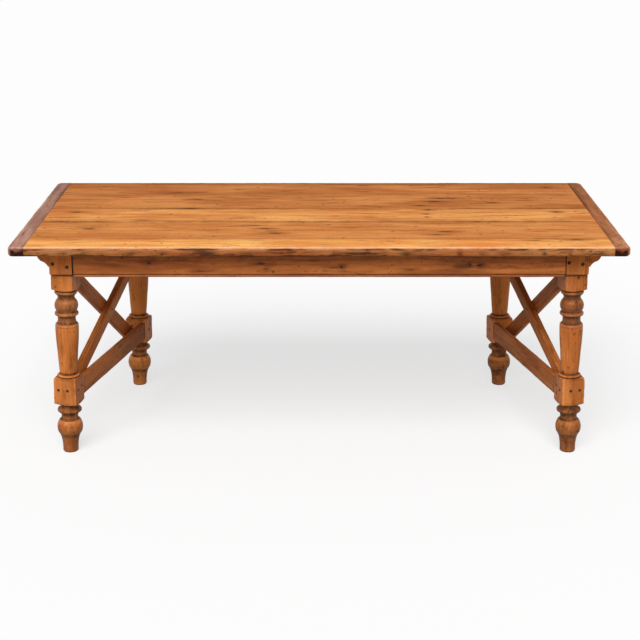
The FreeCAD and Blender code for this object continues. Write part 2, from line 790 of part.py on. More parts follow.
def screw_spots(side, end):
    """Two pairs of screws, clear of the joint between corner block and hinge rail."""
    middle, way = hinge_middle(side, end)
    spots = []
    for step in SCREW_ALONG_SHARES:
        for across in SCREW_ACROSS_SHARES:
            spots.append((times(across, "leaf_outer_reach"), plus(middle, times(way * step, "leaf_length"))))
    return spots


def make_hinge_screws(side, end, moving):
    """Screws of one leaf: up into the table from the fixed one, down into the leg from the other."""
    way = -1 if moving else 1
    kind = "leg" if moving else "rail"
    head = ("hinge_screw_head / 2", "hinge_screw_head / 2 - hinge_screw_diameter / 2")
    screws = []
    for index, (across, spot) in enumerate(screw_spots(side, end)):
        screws.append(frame_rod(side, "%s_screw_%s_%s_%d" % (kind, end, side, index),
                                "hinge_screw_diameter / 2", "hinge_screw_length",
                                (across, spot, HINGE_LEVEL), (0, 0, way), head))
    return screws


def make_leaf(side, end, moving, screws):
    """A flat leaf with its own knuckles round the pin; the fixed one has a small lug at its outer end."""
    kind = "moving_leaf" if moving else "fixed_leaf"
    name = "hinge_%s_%s_%s" % (kind, end, side)
    low, high = (LEG_TOP, HINGE_LEVEL) if moving else (HINGE_LEVEL, BLOCK_UNDER)
    pieces = [frame_box(side, name + "_plate", ("-leaf_outer_reach", "leaf_inner_reach"),
                        hinge_span(side, end, "-leaf_length / 2", "leaf_length / 2"), (low, high))]
    bore_from, bore_to = knuckle_spans()[0][0], knuckle_spans()[2][1]
    for index, (start, stop) in enumerate(knuckle_spans()):
        if (index == 1) != moving:
            continue
        span = hinge_span(side, end, start, stop)
        strap = ("leaf_inner_reach - leaf_thickness", "pin_offset")
        pieces.append(frame_box(side, "%s_strap_%d" % (name, index), strap, span, (low, high)))
        pieces.append(frame_rod(side, "%s_knuckle_%d" % (name, index), "knuckle_diameter / 2",
                                "knuckle_length", ("pin_offset", span[0], HINGE_LEVEL), (0, 1, 0)))
    if not moving:
        middle, way = hinge_middle(side, end)
        lug_at = plus(middle, times(-way, "leaf_length / 2 - lug_diameter"))
        pieces.append(frame_rod(side, name + "_lug", "lug_diameter / 2", "leaf_thickness",
                                ("-leaf_outer_reach", lug_at, low), (0, 0, 1)))
    whole = join(name + "_solid", pieces)
    span = hinge_span(side, end, plus(bore_from, "-overrun"), plus(bore_to, "overrun"))
    bore = frame_rod(side, name + "_bore", "pin_diameter / 2 + pin_clearance",
                     plus(plus(bore_to, minus(bore_from)), "2 * overrun"),
                     ("pin_offset", span[0], HINGE_LEVEL), (0, 1, 0))
    finish(name, cut(name, whole, [bore] + screws))


def make_hinge_pin(side, end):
    name = "hinge_pin_%s_%s" % (end, side)
    start, stop = knuckle_spans()[0][0], knuckle_spans()[2][1]
    span = hinge_span(side, end, plus(start, "-pin_overhang / 2"), plus(stop, "pin_overhang / 2"))
    length = plus(plus(stop, minus(start)), "pin_overhang")
    spot = ("pin_offset", span[0], HINGE_LEVEL)
    finish(name, frame_rod(side, name, "pin_diameter / 2", length, spot, (0, 1, 0)))


# Leg frames

def stretch(shares, low, high):
    """Points of one turned stretch between two levels."""
    return [(times(r, "turning_radius"), plus(low, times(s, plus(high, minus(low)))), bulge)
            for s, r, bulge in shares]


def pommel(size, level, way):
    """The loop that rounds a square block's corners off where the turning begins."""
    half = "(%s / 2)" % size
    reach = times(POMMEL_REACH_SHARE, half)
    drop = times(way * POMMEL_DROP_SHARE, "pommel_height")
    points = [(half, level, POMMEL_BULGE_SHARE * way), (reach, plus(level, drop)), (reach, level)]
    return points


def without_doubles(profile):
    """A loop's points with any that repeat the one before left out."""
    kept = []
    for point in profile:
        spot = (number(point[0]), number(point[1]))
        if not kept or spot != kept[-1][0]:
            kept.append((spot, point))
    return [point for spot, point in kept]


def leg_body(name, side, y):
    """A turned leg with a square block at its top and another above its foot, left long at both ends."""
    place = leaning_placement(side).multiply(
        FreeCAD.Placement(FreeCAD.Vector(0, number(along(side, y)), 0), FreeCAD.Rotation()))
    body = new_body(name + "_body", place)
    core = times(CORE_SHARE, "turning_radius")
    long_top = plus(LEG_TOP, "leg_trim")
    profile = [("0", "-leg_trim"), (times(FOOT_SHARES[0][1], "turning_radius"), "-leg_trim")]
    profile += stretch(FOOT_SHARES, "0", "lower_block_base")
    profile += [(core, "lower_block_base"), (core, "lower_block_top")]
    profile += stretch(SHAFT_SHARES, "lower_block_top", UPPER_BLOCK_BASE)
    profile += [(core, plus(UPPER_BLOCK_BASE, "pommel_height")), (core, long_top), ("0", long_top)]
    sketch = new_sketch(body, name + "_profile", "XZ_Plane", [without_doubles(profile)])
    spindle = body.newObject("PartDesign::Revolution", name + "_turning")
    spindle.Profile = sketch
    spindle.ReferenceAxis = (sketch, ["V_Axis"])
    spindle.Angle = 360
    doc.recompute()
    body.Tip = spindle
    for part, size, low, high in (("lower", "lower_block_size", "lower_block_base", "lower_block_top"),
                                  ("upper", "upper_block_size", UPPER_BLOCK_BASE, long_top)):
        half = "%s / 2" % size
        square = rectangle("-" + half, half, "-" + half, half)
        pad(body, "%s_%s_block" % (name, part), "XY_Plane", [square], plus(high, minus(low)), low)
    loops = [pommel("lower_block_size", "lower_block_base", 1),
             pommel("lower_block_size", "lower_block_top", -1),
             pommel("upper_block_size", UPPER_BLOCK_BASE, 1)]
    before = body.Shape.Volume
    shaping = new_sketch(body, name + "_pommels_outline", "XZ_Plane", loops)
    groove = body.newObject("PartDesign::Groove", name + "_pommels")
    groove.Profile = shaping
    groove.ReferenceAxis = (shaping, ["V_Axis"])
    groove.Angle = 360
    doc.recompute()
    body.Tip = groove
    if not body.Shape.Volume < before:
        raise ValueError(name + " pommels take nothing away")
    return body


def make_trimmers(side):
    """Blocks that cut the leaning legs level: one above their tops, one below the floor."""
    across = ("-lower_block_size", "lower_block_size")
    reach = plus(LEG_AT, "lower_block_size")
    spans = {"above": (LEG_TOP, plus(LEG_TOP, "leg_trim + overrun")), "below": ("-leg_trim - overrun", "0")}
    return [frame_box(side, "trim_%s_%s" % (name, side), across, (minus(reach), reach), span)
            for name, span in spans.items()]


def make_stretcher(side):
    """A flat rail between the lower blocks, near their inner faces, tenoned into both."""
    name = "stretcher_%s" % side
    body = new_body(name + "_body", leaning_placement(side))
    eased = plus("stretcher_top", "-stretcher_chamfer")
    section = [(STRETCHER_OUTSIDE, STRETCHER_UNDER), (STRETCHER_INSIDE, STRETCHER_UNDER),
               (STRETCHER_INSIDE, eased), (plus(STRETCHER_INSIDE, "-stretcher_chamfer"), "stretcher_top"),
               (plus(STRETCHER_OUTSIDE, "stretcher_chamfer"), "stretcher_top"), (STRETCHER_OUTSIDE, eased)]
    pad(body, name + "_rail", "XZ_Plane", [section], times(2, LOWER_FACE), minus(LOWER_FACE))
    middle = plus(STRETCHER_INSIDE, "-stretcher_thickness / 2")
    tenon = rectangle(plus(middle, "-frame_tenon_thickness / 2"), plus(middle, "frame_tenon_thickness / 2"),
                      plus(STRETCHER_UNDER, "frame_tenon_shoulder"), "stretcher_top - frame_tenon_shoulder")
    reach = plus(LOWER_FACE, "frame_tenon_length")
    pad(body, name + "_tenons", "XZ_Plane", [tenon], times(2, reach), minus(reach))
    return name, body


def make_top_rail(side):
    """A thin rail between the upper blocks, hidden behind the apron, tenoned into both."""
    name = "top_rail_%s" % side
    half = "top_rail_thickness / 2"
    body = new_body(name + "_body", leaning_placement(side))
    pad(body, name + "_rail", "XZ_Plane", [rectangle("-" + half, half, RAIL_UNDER, LEG_TOP)],
        times(2, UPPER_FACE), minus(UPPER_FACE))
    tenon_half = "frame_tenon_thickness / 2"
    tenon = rectangle("-" + tenon_half, tenon_half, RAIL_UNDER, plus(LEG_TOP, "-frame_tenon_shoulder"))
    reach = plus(UPPER_FACE, "frame_tenon_length")
    pad(body, name + "_tenons", "XZ_Plane", [tenon], times(2, reach), minus(reach))
    return name, body


def brace_line(brace, edge):
    """Height at the frame's middle and rise to the back of a brace's edge: 1 upper, 0 middle,
    -1 lower."""
    if brace == "outer":
        front, at_front = minus(UPPER_FACE), plus(LEG_TOP, "outer_brace_head_rise")
        back, at_back = LOWER_FACE, "(stretcher_top - outer_brace_foot_drop)"
    else:
        front, at_front = minus(LOWER_FACE), "(stretcher_top - inner_brace_foot_drop)"
        back, at_back = UPPER_FACE, plus(LEG_TOP, "-inner_brace_head_drop")
    rise = "((%s - (%s)) / (%s - (%s)))" % (at_back, at_front, back, front)
    at_middle = "(%s - (%s) * (%s))" % (at_front, rise, front)
    half = "%s_brace_width / 2" % brace
    return "(%s + %d * %s * sqrt(1 + %s^2))" % (at_middle, edge, half, rise), rise


def height_at(line, y):
    return "(%s + %s * (%s))" % (line[0], line[1], y)


def reach_at(line, level):
    return "(((%s) - %s) / %s)" % (level, line[0], line[1])


def make_outer_brace(side):
    """Falls from the front block under the top rail to the back block, behind the other brace."""
    name = "brace_outer_%s" % side
    upper, lower = brace_line("outer", 1), brace_line("outer", -1)
    front, back = minus(UPPER_FACE), LOWER_FACE
    points = [(front, RAIL_UNDER), (front, height_at(lower, front)),
              (reach_at(lower, STRETCHER_UNDER), STRETCHER_UNDER), (back, STRETCHER_UNDER),
              (back, height_at(upper, back)), (reach_at(upper, RAIL_UNDER), RAIL_UNDER)]
    points = [(along(side, y), z) for y, z in points]
    body = new_body(name + "_body", leaning_placement(side))
    pad(body, name + "_board", "YZ_Plane", [points], "outer_brace_thickness", BRACES_OUTSIDE)
    return name, body


def make_inner_brace(side, back_leg):
    """Rises from the front block, behind the stretcher, to the bulb of the back leg."""
    name = "brace_inner_%s" % side
    upper, lower = brace_line("inner", 1), brace_line("inner", -1)
    front, back = minus(LOWER_FACE), plus(LEG_AT, "-turning_radius / 2")
    points = [(front, height_at(lower, front)), (back, height_at(lower, back)),
              (back, height_at(upper, back)), (front, height_at(upper, front))]
    points = [(along(side, y), z) for y, z in points]
    body = new_body(name + "_body", leaning_placement(side))
    pad(body, name + "_board", "YZ_Plane", [points], "inner_brace_thickness", BRACES_MEET)
    return name, cut(name + "_coped", body, [back_leg])


def crossing():
    """Where the middle lines of the two braces cross: distance to the back, and height."""
    outer, inner = brace_line("outer", 0), brace_line("inner", 0)
    y = "((%s - %s) / (%s - %s))" % (outer[0], inner[0], inner[1], outer[1])
    return y, height_at(inner, y)


def make_rivet(side):
    """A clenched rivet through both braces where they cross, with a round head on each face."""
    name = "brace_rivet_%s" % side
    y, z = crossing()
    pieces = [frame_rod(side, name + "_shank", "rivet_diameter / 2",
                        "outer_brace_thickness + inner_brace_thickness",
                        (BRACES_OUTSIDE, y, z), (1, 0, 0), leaning=True)]
    for way, face in ((1, STRETCHER_OUTSIDE), (-1, BRACES_OUTSIDE)):
        spot = FreeCAD.Vector(number(face), number(along(side, y)), number(z))
        turn = FreeCAD.Rotation(FreeCAD.Vector(0, 0, 1), FreeCAD.Vector(way, 0, 0))
        head = doc.addObject("Part::Cone", "%s_head_%d" % (name, way))
        head.setExpression("Radius1", bound("rivet_head_diameter / 2"))
        head.setExpression("Radius2", bound("rivet_diameter / 2"))
        head.setExpression("Height", bound("rivet_head_height"))
        head.Placement = leaning_placement(side).multiply(FreeCAD.Placement(spot, turn))
        pieces.append(head)
    return finish(name, join(name, pieces))


def make_frame_pegs(side):
    """Pegs across the stretcher's tenons and pegs seen in the front and back faces of the blocks."""
    pegs = []
    face = "(lower_block_size / 2 + peg_stand)"
    for end in ENDS:
        out = -1 if end == "front" else 1
        leg = times(out, LEG_AT)
        for index, (share, up) in enumerate(TENON_PEG_SHARES[end]):
            y = plus(leg, times(share, "lower_block_size"))
            z = plus(STRETCHER_MIDDLE, times(up, "lower_block_size"))
            pegs.append(frame_rod(side, "tenon_peg_%s_%s_%d" % (end, side, index),
                                  "frame_peg_diameter / 2", "frame_peg_length", (face, y, z), (-1, 0, 0),
                                  leaning=True))
        for index, (share, up) in enumerate(FACE_PEG_SHARES):
            x = times(share, "lower_block_size")
            z = plus(STRETCHER_MIDDLE, times(up, "lower_block_size"))
            pegs.append(frame_rod(side, "face_peg_%s_%s_%d" % (end, side, index),
                                  "frame_peg_diameter / 2", "face_peg_length",
                                  (x, plus(leg, times(out, face)), z), (0, -out, 0), leaning=True))
    name = "frame_pegs_%s" % side
    return finish(name, group(name, pegs))


def make_dowels(side):
    """Round dowels that hold the brace ends to the leg blocks, the top rail and the bulb."""
    half = "brace_dowel_length / 2"
    outer_at = plus(BRACES_OUTSIDE, "outer_brace_thickness / 2")
    inner_at = plus(BRACES_MEET, "inner_brace_thickness / 2")
    outer, inner = brace_line("outer", 0), brace_line("inner", 0)
    foot_top = height_at(brace_line("outer", 1), LOWER_FACE)
    spots = {
        # level from the outer brace's foot into the back block
        "outer_foot": ((outer_at, plus(LOWER_FACE, minus(half)),
                        "(%s + %s) / 2" % (STRETCHER_UNDER, foot_top)), (0, 1, 0)),
        # up from the outer brace's head into the top rail
        "outer_head": ((outer_at, reach_at(outer, RAIL_UNDER),
                        plus(RAIL_UNDER, times(-HEAD_DOWEL_SHARE, "brace_dowel_length"))), (0, 0, 1)),
        # level from the front block into the inner brace's foot
        "inner_foot": ((inner_at, plus(minus(LOWER_FACE), minus(half)),
                        height_at(inner, minus(LOWER_FACE))), (0, 1, 0)),
        # level from the inner brace's head into the bulb
        "inner_head": ((inner_at, plus(LEG_AT, minus(plus(times(BULB_SHARE, "turning_radius"), half))),
                        height_at(inner, UPPER_FACE)), (0, 1, 0)),
    }
    dowels = []
    for label, (spot, way) in spots.items():
        dowels.append(frame_rod(side, "dowel_%s_%s" % (label, side), "brace_dowel_diameter / 2",
                                "brace_dowel_length", spot, way, leaning=True))
    name = "brace_dowels_%s" % side
    return finish(name, group(name, dowels))


def make_leg_frame(side):
    """Everything that swings with one leg frame."""
    pegs = make_frame_pegs(side)
    dowels = make_dowels(side)
    rivet = make_rivet(side)
    screws = {end: make_hinge_screws(side, end, True) for end in ENDS}
    all_screws = screws["front"] + screws["back"]
    stretcher_name, stretcher = make_stretcher(side)
    rail_name, rail = make_top_rail(side)
    bodies = {end: leg_body("leg_%s_%s" % (end, side), side, times(-1 if end == "front" else 1, LEG_AT))
              for end in ENDS}
    outer_name, outer = make_outer_brace(side)
    inner_name, inner = make_inner_brace(side, bodies["back"])
    trimmers = make_trimmers(side)
    for end in ENDS:
        name = "leg_%s_%s" % (end, side)
        finish(name, cut(name, bodies[end], [stretcher, rail, pegs, dowels] + screws[end] + trimmers))
        make_leaf(side, end, True, screws[end])
    finish(stretcher_name, cut(stretcher_name, stretcher, [pegs]))
    finish(rail_name, cut(rail_name, rail, [dowels] + all_screws + trimmers[:1]))
    finish(outer_name, cut(outer_name, outer, [dowels, rivet]))
    finish(inner_name, cut(inner_name, inner, [dowels, rivet]))
    name = "leg_hinge_screws_%s" % side
    finish(name, group(name, all_screws))


def make_table():
    edges = board_edges()
    board_pegs = make_breadboard_pegs(edges)
    for index in range(len(edges) - 1):
        make_top_board(index, edges, board_pegs)
    make_splines(edges)
    for side in SIDES:
        make_breadboard(side, board_pegs)
    apron_pegs = make_apron_pegs()
    nails = make_cleat_nails()
    aprons = [make_apron(end) for end in ENDS]
    end_rails = [make_end_rail(side) for side in SIDES]
    screws = []
    rail_tools = {}
    for side in SIDES:
        by_end = {end: make_hinge_screws(side, end, False) for end in ENDS}
        side_screws = by_end["front"] + by_end["back"]
        screws += side_screws
        for end in ENDS:
            make_leaf(side, end, False, by_end[end])
            make_hinge_pin(side, end)
        make_hinge_rail(side, side_screws)
        rail = end_rails[SIDES.index(side)][1]
        rail_tools[side] = [nails] + side_screws
        for end in ENDS:
            apron = aprons[ENDS.index(end)][1]
            tools = [apron, rail, apron_pegs, nails] + (by_end[end] if end == "front" else [])
            make_corner_block(side, end, tools)
        make_cleat(side, nails)
    for name, body in aprons:
        finish(name, cut(name, body, [apron_pegs]))
    for side, (name, body) in zip(SIDES, end_rails):
        finish(name, cut(name, body, rail_tools[side]))
    finish("rail_hinge_screws", group("rail_hinge_screws", screws))
    make_bearers()
    make_glue_blocks()


def check_and_write():
    """Every object has to be sound before any file is written."""
    doc.recompute()
    for thing in doc.Objects:
        bad = [s for s in thing.State if s in ("Invalid", "Error")]
        if bad:
            raise ValueError("%s is %s" % (thing.Label, bad))
    for name, thing in NODES.items():
        if thing.Shape.isNull() or not thing.Shape.isValid() or not thing.Shape.Solids:
            raise ValueError("the shape of %s is not sound" % name)
    os.makedirs("parts", exist_ok=True)
    for name, thing in sorted(NODES.items()):
        thing.Shape.exportStep("parts/%s.step" % name)
        print("%-30s %2d solids  %9.0f mm3" % (name, len(thing.Shape.Solids), thing.Shape.Volume))
    print("%d sub-parts" % len(NODES))


make_sheet()
make_table()
for frame_side in SIDES:
    make_leg_frame(frame_side)
check_and_write()
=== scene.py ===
import math

import bpy
import numpy as np
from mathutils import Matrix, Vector


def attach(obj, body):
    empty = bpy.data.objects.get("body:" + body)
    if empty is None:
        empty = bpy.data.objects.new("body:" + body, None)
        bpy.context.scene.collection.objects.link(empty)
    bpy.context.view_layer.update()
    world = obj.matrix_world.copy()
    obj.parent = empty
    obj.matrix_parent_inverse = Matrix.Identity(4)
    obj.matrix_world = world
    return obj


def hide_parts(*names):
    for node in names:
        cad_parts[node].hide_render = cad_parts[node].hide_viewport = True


bl_info = {
    "name": "Folding dining table",
    "version": (1, 0, 0),
    "blender": (4, 5, 0),
    "location": "3D View > Sidebar > Table",
    "description": "Dresses a plank-topped folding table in old waxed pine",
    "category": "Object",
}

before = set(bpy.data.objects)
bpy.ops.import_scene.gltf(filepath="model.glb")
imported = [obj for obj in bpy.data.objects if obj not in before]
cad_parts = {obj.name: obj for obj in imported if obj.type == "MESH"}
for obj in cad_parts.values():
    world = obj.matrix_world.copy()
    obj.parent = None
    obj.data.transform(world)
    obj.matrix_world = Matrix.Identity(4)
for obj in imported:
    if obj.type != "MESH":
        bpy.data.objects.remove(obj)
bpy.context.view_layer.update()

SIDES = ("left", "right")
ENDS = ("front", "back")

# The table's main lines, in metres
TABLE_HEIGHT = 0.760
TOP_LENGTH = 2.004
TOP_DEPTH = 1.000
TOP_UNDER = 0.730
FIELD_END = 0.949
BOARD_EDGES = (-0.500, -0.388, -0.139, 0.053, 0.291, 0.500)
BOARD_SEAM = 0.0004
APRON_FACE = 0.400
APRON_INSIDE = 0.378
APRON_UNDER = 0.634
BLOCK_UNDER = 0.643
BLOCK_OUTSIDE = 0.887
BLOCK_INSIDE = 0.812
CLEAT_UNDER = 0.670
LEG_TOP = 0.633
LOWER_BLOCK = (0.176, 0.271)
UPPER_BLOCK = 0.579
TURNING_RADIUS = 0.0433
TOE = math.radians(13.1)
LEAN = math.radians(1.1)
FRAME_CENTRE = 0.764
LEG_AT = 0.353
# Sides of the square stretches: the corner blocks, and a leg's upper and lower block
BLOCK_SIDE = 0.075
UPPER_SIDE = 0.076
LOWER_SIDE = 0.080
# Height of the rounded shoulder at a turned end of a leg's block
POMMEL = 0.009
# Middle of the ball between a leg's shaft and its upper block
BALL_AT = 0.512
# Stretchers and braces, in a leg frame: the faces of the lower and upper blocks from the frame's middle,
# the top, width and thickness of the stretcher, and the height of the rail above the braces
LOWER_FACE = 0.313
UPPER_FACE = 0.315
STRETCHER_TOP = 0.260
STRETCHER_DEEP = 0.065
STRETCHER_THICK = 0.020
TOP_RAIL_HIGH = 0.024
# Radius of the breadboards' rounded corners, seen from above
TOP_CORNER = 0.024
# How dark the old dirt lies along each seam of the top, front to back
SEAM_DIRT = (0.40, 1.10, 0.75, 0.45)
# How far each board's light and dark wood is from honey to amber and from amber to chestnut
BOARD_TONES = ((-0.48, -0.64), (0.40, 0.15), (0.00, 0.00), (0.60, 0.55), (0.65, 0.60))

# Turned stretches of a leg: height along the stretch, radius and bulge of the next run, as shares
FOOT_SHARES = (
    (0.000, 0.55, 0.0), (0.018, 0.61, -0.03), (0.270, 0.69, -0.06), (0.400, 0.92, 0.115),
    (0.640, 0.86, 0.10), (0.668, 0.72, -0.15), (0.800, 0.75, 0.0), (0.818, 0.86, 0.31),
    (0.895, 0.86, 0.0), (0.902, 0.76, -0.13), (0.985, 0.76, 0.0), (1.000, 0.83, 0.0),
)
SHAFT_SHARES = (
    (0.000, 0.83, 0.0), (0.003, 0.79, 0.0), (0.005, 0.80, 0.45), (0.0276, 0.80, 0.0),
    (0.032, 0.71, -0.15), (0.048, 0.676, 0.005), (0.300, 0.80, 0.01), (0.549, 0.91, 0.02),
    (0.585, 0.90, 0.20), (0.618, 0.76, -0.07), (0.695, 0.71, 0.0), (0.706, 0.83, 0.36),
    (0.745, 0.83, -0.10), (0.762, 0.80, 0.175), (0.886, 0.72, 0.0), (0.893, 0.68, -0.10),
    (0.925, 0.68, 0.0), (0.946, 0.78, 0.0), (0.950, 0.83, 0.22), (0.989, 0.83, 0.0),
    (0.992, 0.76, 0.0), (1.000, 0.80, 0.0),
)

# Marks in the top: across the table, to the back, length, width and depth of colour
TOP_MARKS = (
    (-0.775, -0.239, 0.050, 0.022, 0.55), (-0.855, 0.005, 0.030, 0.012, 0.60),
    (-0.528, 0.316, 0.060, 0.014, 0.75), (-0.441, 0.203, 0.045, 0.009, 0.80),
    (-0.461, 0.058, 0.050, 0.009, 0.85), (-0.183, -0.239, 0.035, 0.008, 0.80),
    (-0.148, -0.306, 0.045, 0.012, 0.70), (-0.222, -0.195, 0.040, 0.008, 0.60),
    (0.166, 0.452, 0.050, 0.012, 0.55), (0.443, 0.225, 0.040, 0.010, 0.95),
    (0.480, 0.222, 0.040, 0.008, 0.90), (0.417, 0.169, 0.045, 0.012, 0.85),
    (0.386, 0.037, 0.020, 0.009, 1.00), (0.375, -0.026, 0.014, 0.008, 1.00),
    (0.375, -0.073, 0.012, 0.007, 1.00), (0.360, 0.105, 0.028, 0.007, 0.80),
    (0.421, -0.282, 0.050, 0.011, 0.70), (0.388, -0.325, 0.040, 0.009, 0.75),
    (0.625, 0.152, 0.055, 0.014, 0.60), (0.832, 0.005, 0.022, 0.010, 0.90),
    (0.856, 0.415, 0.018, 0.010, 0.80), (0.842, -0.395, 0.045, 0.010, 0.85),
    (0.700, -0.405, 0.050, 0.008, 0.60), (-0.600, -0.120, 0.060, 0.012, 0.45),
    (0.110, -0.230, 0.060, 0.010, 0.45), (-0.300, 0.380, 0.055, 0.010, 0.45),
    (0.050, 0.150, 0.050, 0.008, 0.40),
)
# Marks in the front apron: along it, height, length, width and depth of colour
APRON_MARKS = (
    (-0.557, 0.683, 0.022, 0.010, 0.85), (-0.189, 0.681, 0.030, 0.009, 0.80),
    (-0.178, 0.662, 0.016, 0.006, 0.70), (0.075, 0.669, 0.014, 0.009, 0.95),
    (0.050, 0.666, 0.040, 0.006, 0.60), (0.496, 0.678, 0.016, 0.010, 0.95),
    (0.527, 0.675, 0.018, 0.010, 0.95), (0.470, 0.671, 0.070, 0.020, 0.55),
    (0.300, 0.660, 0.030, 0.006, 0.55), (-0.390, 0.655, 0.035, 0.006, 0.55),
    (-0.020, 0.690, 0.050, 0.008, 0.40),
)
# Dents in the front edge of the top: place along it, half width and depth
EDGE_DENTS = (
    (-0.398, 0.012, 0.0030), (0.452, 0.010, 0.0028), (0.724, 0.007, 0.0024), (0.808, 0.006, 0.0024),
    (-0.610, 0.020, 0.0016), (-0.230, 0.026, 0.0018), (0.060, 0.018, 0.0014), (0.280, 0.024, 0.0018),
    (-0.820, 0.015, 0.0016), (0.600, 0.020, 0.0016), (0.905, 0.010, 0.0018), (-0.500, 0.010, 0.0020),
)


def length_setting(name, description, default, least=0.0):
    """A length that the panel shows in the scene's unit."""
    return bpy.props.FloatProperty(name=name, description=description, default=default, min=least,
                                   unit="LENGTH")


def colour_setting(name, description, default):
    """A colour that the panel shows as a swatch."""
    return bpy.props.FloatVectorProperty(name=name, description=description, default=default, size=3,
                                         min=0, max=1, subtype="COLOR")


class TableSizes(bpy.types.PropertyGroup):
    """Sizes of the wear and of the eased edges."""
    arris: length_setting("Eased edge", "Radius of the worn edges of rails and blocks", 0.0016, 0.0004)
    top_arris: length_setting("Top's edge", "Radius of the rounded outer edge of the top", 0.0070, 0.001)
    seam_arris: length_setting("Seam edge", "Radius of the long edges where two boards meet", 0.0011, 0.0003)
    wear: length_setting("Wear", "Depth to which the edges are rubbed and dented", 0.0010)
    dent_share: bpy.props.FloatProperty(
        name="Dents", description="Depth of the dents in the front edge, as a share of the worst ones",
        default=1.0, min=0.0, max=2.0, subtype="FACTOR")


class TableColours(bpy.types.PropertyGroup):
    """Colours of the waxed wood and of the iron."""
    honey: colour_setting("Honey", "Lightest wood of the top", (0.90, 0.43, 0.125))
    amber: colour_setting("Amber", "Darker streaks of the top", (0.58, 0.185, 0.046))
    chestnut: colour_setting("Chestnut", "Darkest figure of the top", (0.30, 0.080, 0.022))
    russet: colour_setting("Russet", "Lighter wood of the legs and rails", (0.84, 0.285, 0.070))
    umber: colour_setting("Umber", "Darker streaks of the legs and rails", (0.46, 0.130, 0.030))
    # grime also paints shade: under the top's overhang, in gaps, under the beads and under a leg's swellings
    grime_and_shade: colour_setting("Grime", "Old wax and dirt in grooves and dents", (0.055, 0.022, 0.012))
    iron: colour_setting("Iron", "Blackened iron of hinges and nails", (0.095, 0.045, 0.026))


class StageSettings(bpy.types.PropertyGroup):
    """The floor, the light and the camera."""
    floor_grey: bpy.props.FloatProperty(
        name="Floor", description="Brightness of the floor", default=0.34, min=0, max=1, subtype="FACTOR")
    ambient: bpy.props.FloatProperty(
        name="Soft light", description="Strength of the light from all round", default=0.36, min=0)
    key: bpy.props.FloatProperty(
        name="Key light", description="Strength of the soft light from above", default=3.05, min=0)
    lens: bpy.props.FloatProperty(
        name="Lens", description="Focal length of the camera", default=85.31, min=1, unit="CAMERA")


def sizes():
    """The scene's sizes, as the panel shows them."""
    return bpy.context.scene.table_sizes


def colours():
    """The scene's colours, as the panel shows them."""
    return bpy.context.scene.table_colours


# Shapes

def wander(where, step, seed):
    """Smooth random values from -1 to 1 along a line: random heights every step, joined by s-curves."""
    where = np.asarray(where, dtype=float)
    spot = where / step
    cell = np.floor(spot).astype(int)
    ease = spot - cell
    ease = ease * ease * (3 - 2 * ease)
    low = cell.min() if cell.size else 0
    heights = np.random.default_rng(seed).uniform(-1, 1, int(np.ptp(cell)) + 2)
    return heights[cell - low] * (1 - ease) + heights[cell - low + 1] * ease


def arc_points(start, stop, bulge, steps):
    """Points after start up to stop on the arc that leaves its chord to the right by bulge times the
    chord's length."""
    start, stop = np.array(start, dtype=float), np.array(stop, dtype=float)
    if abs(bulge) < 1e-9:
        return stop[None, :]
    share = np.linspace(0, 1, steps + 1)[1:, None]
    chord = stop - start
    right = np.array([chord[1], -chord[0]])
    half = 2 * math.atan(2 * bulge)
    angle = (2 * share - 1) * half
    across = (np.sin(angle) / math.sin(half) + 1) / 2
    rise = (np.cos(angle) - math.cos(half)) / (2 * math.sin(half))
    return start + across * chord + rise * right


def rounded_section(low, high, radii, steps=4, flats=(2, 2, 2, 2)):
    """Anticlockwise section of a bar with rounded corners, and how near each point is to a corner (0 to 1).
    The corners come in the order low-low, high-low, high-high, low-high; flats gives, for the side after
    each corner, how many points lie on it, or at which shares of it."""
    (u0, v0), (u1, v1) = low, high
    corners = ((u0, v0, 1, 1, math.pi), (u1, v0, -1, 1, 1.5 * math.pi),
               (u1, v1, -1, -1, 0.0), (u0, v1, 1, -1, 0.5 * math.pi))
    points, weights = [], []
    for (u, v, su, sv, begin), radius in zip(corners, radii):
        angle = begin + np.linspace(0, math.pi / 2, steps + 1)
        centre = (u + su * radius, v + sv * radius)
        points.append(np.stack([centre[0] + radius * np.cos(angle), centre[1] + radius * np.sin(angle)], 1))
        weights.append(1 - 0.4 * np.abs(np.linspace(-1, 1, steps + 1)))
    loop, weight = [], []
    for i in range(4):
        after = points[(i + 1) % 4][0]
        loop.append(points[i])
        weight.append(weights[i])
        share = np.linspace(0, 1, flats[i] + 2)[1:-1] if np.isscalar(flats[i]) else np.array(flats[i])
        loop.append(points[i][-1] * (1 - share[:, None]) + after * share[:, None])
        weight.append(np.zeros(len(share)))
    return np.concatenate(loop), np.concatenate(weight)


def polygon_normals(loop):
    """Outward direction at each point of an anticlockwise loop: the mean of its two sides' normals."""
    before = loop - np.roll(loop, 1, 0)
    after = np.roll(loop, -1, 0) - loop
    normals = []
    for side in (before, after):
        normal = np.stack([side[:, 1], -side[:, 0]], 1)
        size = np.linalg.norm(normal, axis=1, keepdims=True)
        normals.append(normal / np.maximum(size, 1e-12))
    mean = normals[0] + normals[1]
    return mean / np.maximum(np.linalg.norm(mean, axis=1, keepdims=True), 1e-12)


def carried(section, stations, ends=None):
    """A section carried along a third axis: point (i, j) is section j at station i.
    With ends, station i of point j lies at that share between the two slanted end planes' heights."""
    count = len(stations)
    grid = np.zeros((count, len(section), 3))
    grid[:, :, 0:2] = section[None, :, :]
    if ends is None:
        grid[:, :, 2] = np.asarray(stations)[:, None]
    else:
        share = np.asarray(stations)[:, None]
        grid[:, :, 2] = ends[0][None, :] * (1 - share) + ends[1][None, :] * share
    return grid


